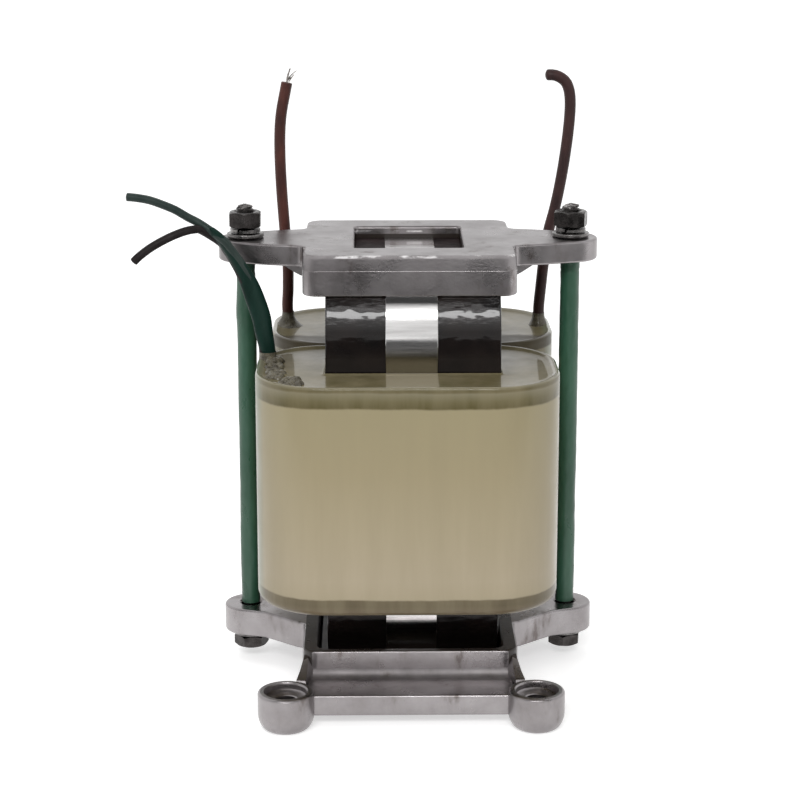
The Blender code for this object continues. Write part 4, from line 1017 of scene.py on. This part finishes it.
washer_steel = steel("washer_steel", (0.09, 0.085, 0.083), (0.27, 0.26, 0.255), 0.24, 0.12)
nut_steel = steel("nut_steel", (0.032, 0.029, 0.028), (0.085, 0.078, 0.076), 0.24, 0.10)
stud_steel = steel("stud_steel", (0.05, 0.045, 0.043), (0.45, 0.43, 0.42), 0.22)
shrink_sleeve = two_toned("shrink_sleeve", (0.02, 0.07, 0.04), (0.04, 0.112, 0.07), (120, (1, 1, 0.3)),
                          (240, 0.26, 0.42, (1, 1, 0.4)), (900, 0.1, 0.18, 0.0003))

# The ridge of a thread follows a spiral up the bolt.
ridge, feed = pattern(
    "thread_ridge", Radius="Float", Pitch="Float", Turns="Float", Depth="Float", Start="Vector",
    Material="Material",
)
rise = maths(ridge, "MULTIPLY", feed["Pitch"], feed["Turns"])
spiral = put(ridge, "GeometryNodeCurveSpiral", Resolution=28, Rotations=feed["Turns"],
             Start_Radius=feed["Radius"], End_Radius=feed["Radius"], Height=rise)
crest = put(ridge, "GeometryNodeCurvePrimitiveCircle", Resolution=4, Radius=feed["Depth"]).outputs[0]
swept = put(ridge, "GeometryNodeCurveToMesh", Curve=spiral.outputs[0], Profile_Curve=crest, Fill_Caps=True)
set_up = put(ridge, "GeometryNodeTransform", Geometry=swept.outputs[0], Translation=feed["Start"])
send_out(ridge, feed, set_up.outputs[0])


def sliver_wide(s):
    """Half the width of a sliver of torn steel, which tapers to its tip."""
    return 0.42 * mm * (1 - 0.5 * s)


shank_profile = in_mm((0, 5), (2.6, 5), (2.6, 152.5), (2.2, 153.1), (1.3, 153.4), (0, 153.5))
nut_bore = in_mm((0, 146), (3.2, 146), (3.2, 151.6), (3.7, 152.2), (0, 152.2))
split_section = [(3.2, 0), (4.8, 0), (4.9, 0.12), (4.9, 0.93), (4.8, 1.05), (3.2, 1.05)]
sleeve_foot, sleeve_length = 18.9, 117.2
sleeve_turns = [radians(10 * k) for k in range(36)]
for side, x, nut_turn, head_turn in (("left", -bolt_x, 30, 8), ("right", bolt_x, 15, 22)):
    head, blank_shape = hexagon(f"bolt_{side}", x, 3.6 * mm, 7.6 * mm, radians(head_turn))
    shank = revolve("shank", shank_profile, (x, 0), 40)
    worked(head, ("INTERSECT", [blank_shape]), ("UNION", [shank]))
    mount_piece(head, nut_steel, "fastener_steel", f"tie_bolt_{side}")
    start = Vector((x, 0, 145.5 * mm))
    thread = grown(f"thread_{side}", ridge, Radius=2.62 * mm, Pitch=1 * mm, Turns=7.6, Depth=0.34 * mm,
                   Start=start, Material=nut_steel)
    mount_piece(thread, nut_steel, "fastener_steel")
    torn = grown(f"torn_end_{side}", lump_tree, Centre=Vector((x, 0, 153.1 * mm)),
                 Spread=Vector((1.9, 1.9, 0.35)) * mm, Count=24, Smallest=0.4 * mm, Largest=0.8 * mm,
                 Seed=11 + head_turn, Fineness=0.14 * mm, Material=stud_steel)
    mount_piece(torn, stud_steel, "fastener_steel")
    for lean, reach in ((20, 2.6), (165, 2.1)):
        way = Vector((cos(radians(lean)), -0.5, 0))
        curl = []
        for i in range(9):
            out = way * (reach * mm * sin(0.42 * i))
            curl.append(Vector((x, 0, 153.4 * mm)) + out + Vector((0, 0, 0.12 * mm * i)))
        curl = smooth_line(curl, 0.3 * mm)
        sliver = hose(f"sliver_{side}_{lean}", curl, sliver_wide, steady(0.16 * mm), 0.5, 10)
        mount_piece(sliver, stud_steel, "fastener_steel")
    nut, blank_shape = hexagon(f"nut_{side}", x, 146.9 * mm, 152.1 * mm, radians(nut_turn))
    worked(nut, ("INTERSECT", [blank_shape]), ("DIFFERENCE", [revolve("bore", nut_bore, (x, 0), 48)]))
    mount_piece(nut, nut_steel, "dark_steel", f"top_nut_{side}")
    for name, node, foot in (("flat_washer", "top_washer", 143.8), ("head_washer", "bottom_washer", 7.9)):
        low, high = foot * mm, foot * mm + 1.2 * mm
        rims = [(6 * mm - inset, z) for inset, z in rolled(low, high, 0.25 * mm, 3)]
        profile = [(3.25 * mm, low), *rims, (3.25 * mm, high)]
        washer = revolve(f"{name}_{side}", profile, (x, 0), 64)
        mount_piece(washer, washer_steel, "fastener_steel", f"{node}_{side}")
    loops = []
    for i in range(61):
        a = radians(250 + 352 * i / 60)
        low = (145.3 + 0.25 * i / 60) * mm
        loops.append([(x + r * mm * cos(a), r * mm * sin(a), low + z * mm) for r, z in split_section])
    spring = skin(f"split_washer_{side}", loops)
    mount_piece(spring, washer_steel, "fastener_steel", f"spring_washer_{side}")
    rows = []
    for i in range(161):
        z = (sleeve_foot + sleeve_length * i / 160) * mm
        swell = 0.14 * mm * noise.noise(Vector((x * 90, 0, z * 60)))
        if side == "left":
            swell += 0.3 * mm * exp(-(((z - 119 * mm) / (5 * mm)) ** 2))
        for ring_z, hollow in ((21.2, 0.16), (22.6, 0.10), (132.5, 0.12)):
            swell -= hollow * mm * exp(-(((z - ring_z * mm) / (0.4 * mm)) ** 2))
        row = []
        for a in sleeve_turns:
            crease = 0.10 * mm * noise.noise(Vector((3 * cos(a), 3 * sin(a) + x * 40, z * 260)))
            r = 3.14 * mm + swell + crease
            row.append((x + r * cos(a), r * sin(a), z))
        rows.append(row)
    bore = [(x + 2.75 * mm * cos(a), 2.75 * mm * sin(a)) for a in sleeve_turns]
    rows += [lying(bore, (sleeve_foot + sleeve_length) * mm), lying(bore, sleeve_foot * mm)]
    sleeve = skin(f"shrink_sleeve_{side}", rows, ring=True)
    mount_piece(sleeve, shrink_sleeve, "green_sleeve", f"bolt_sleeve_{side}")

bpy.context.scene.view_settings.view_transform = "Standard"
low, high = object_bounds()
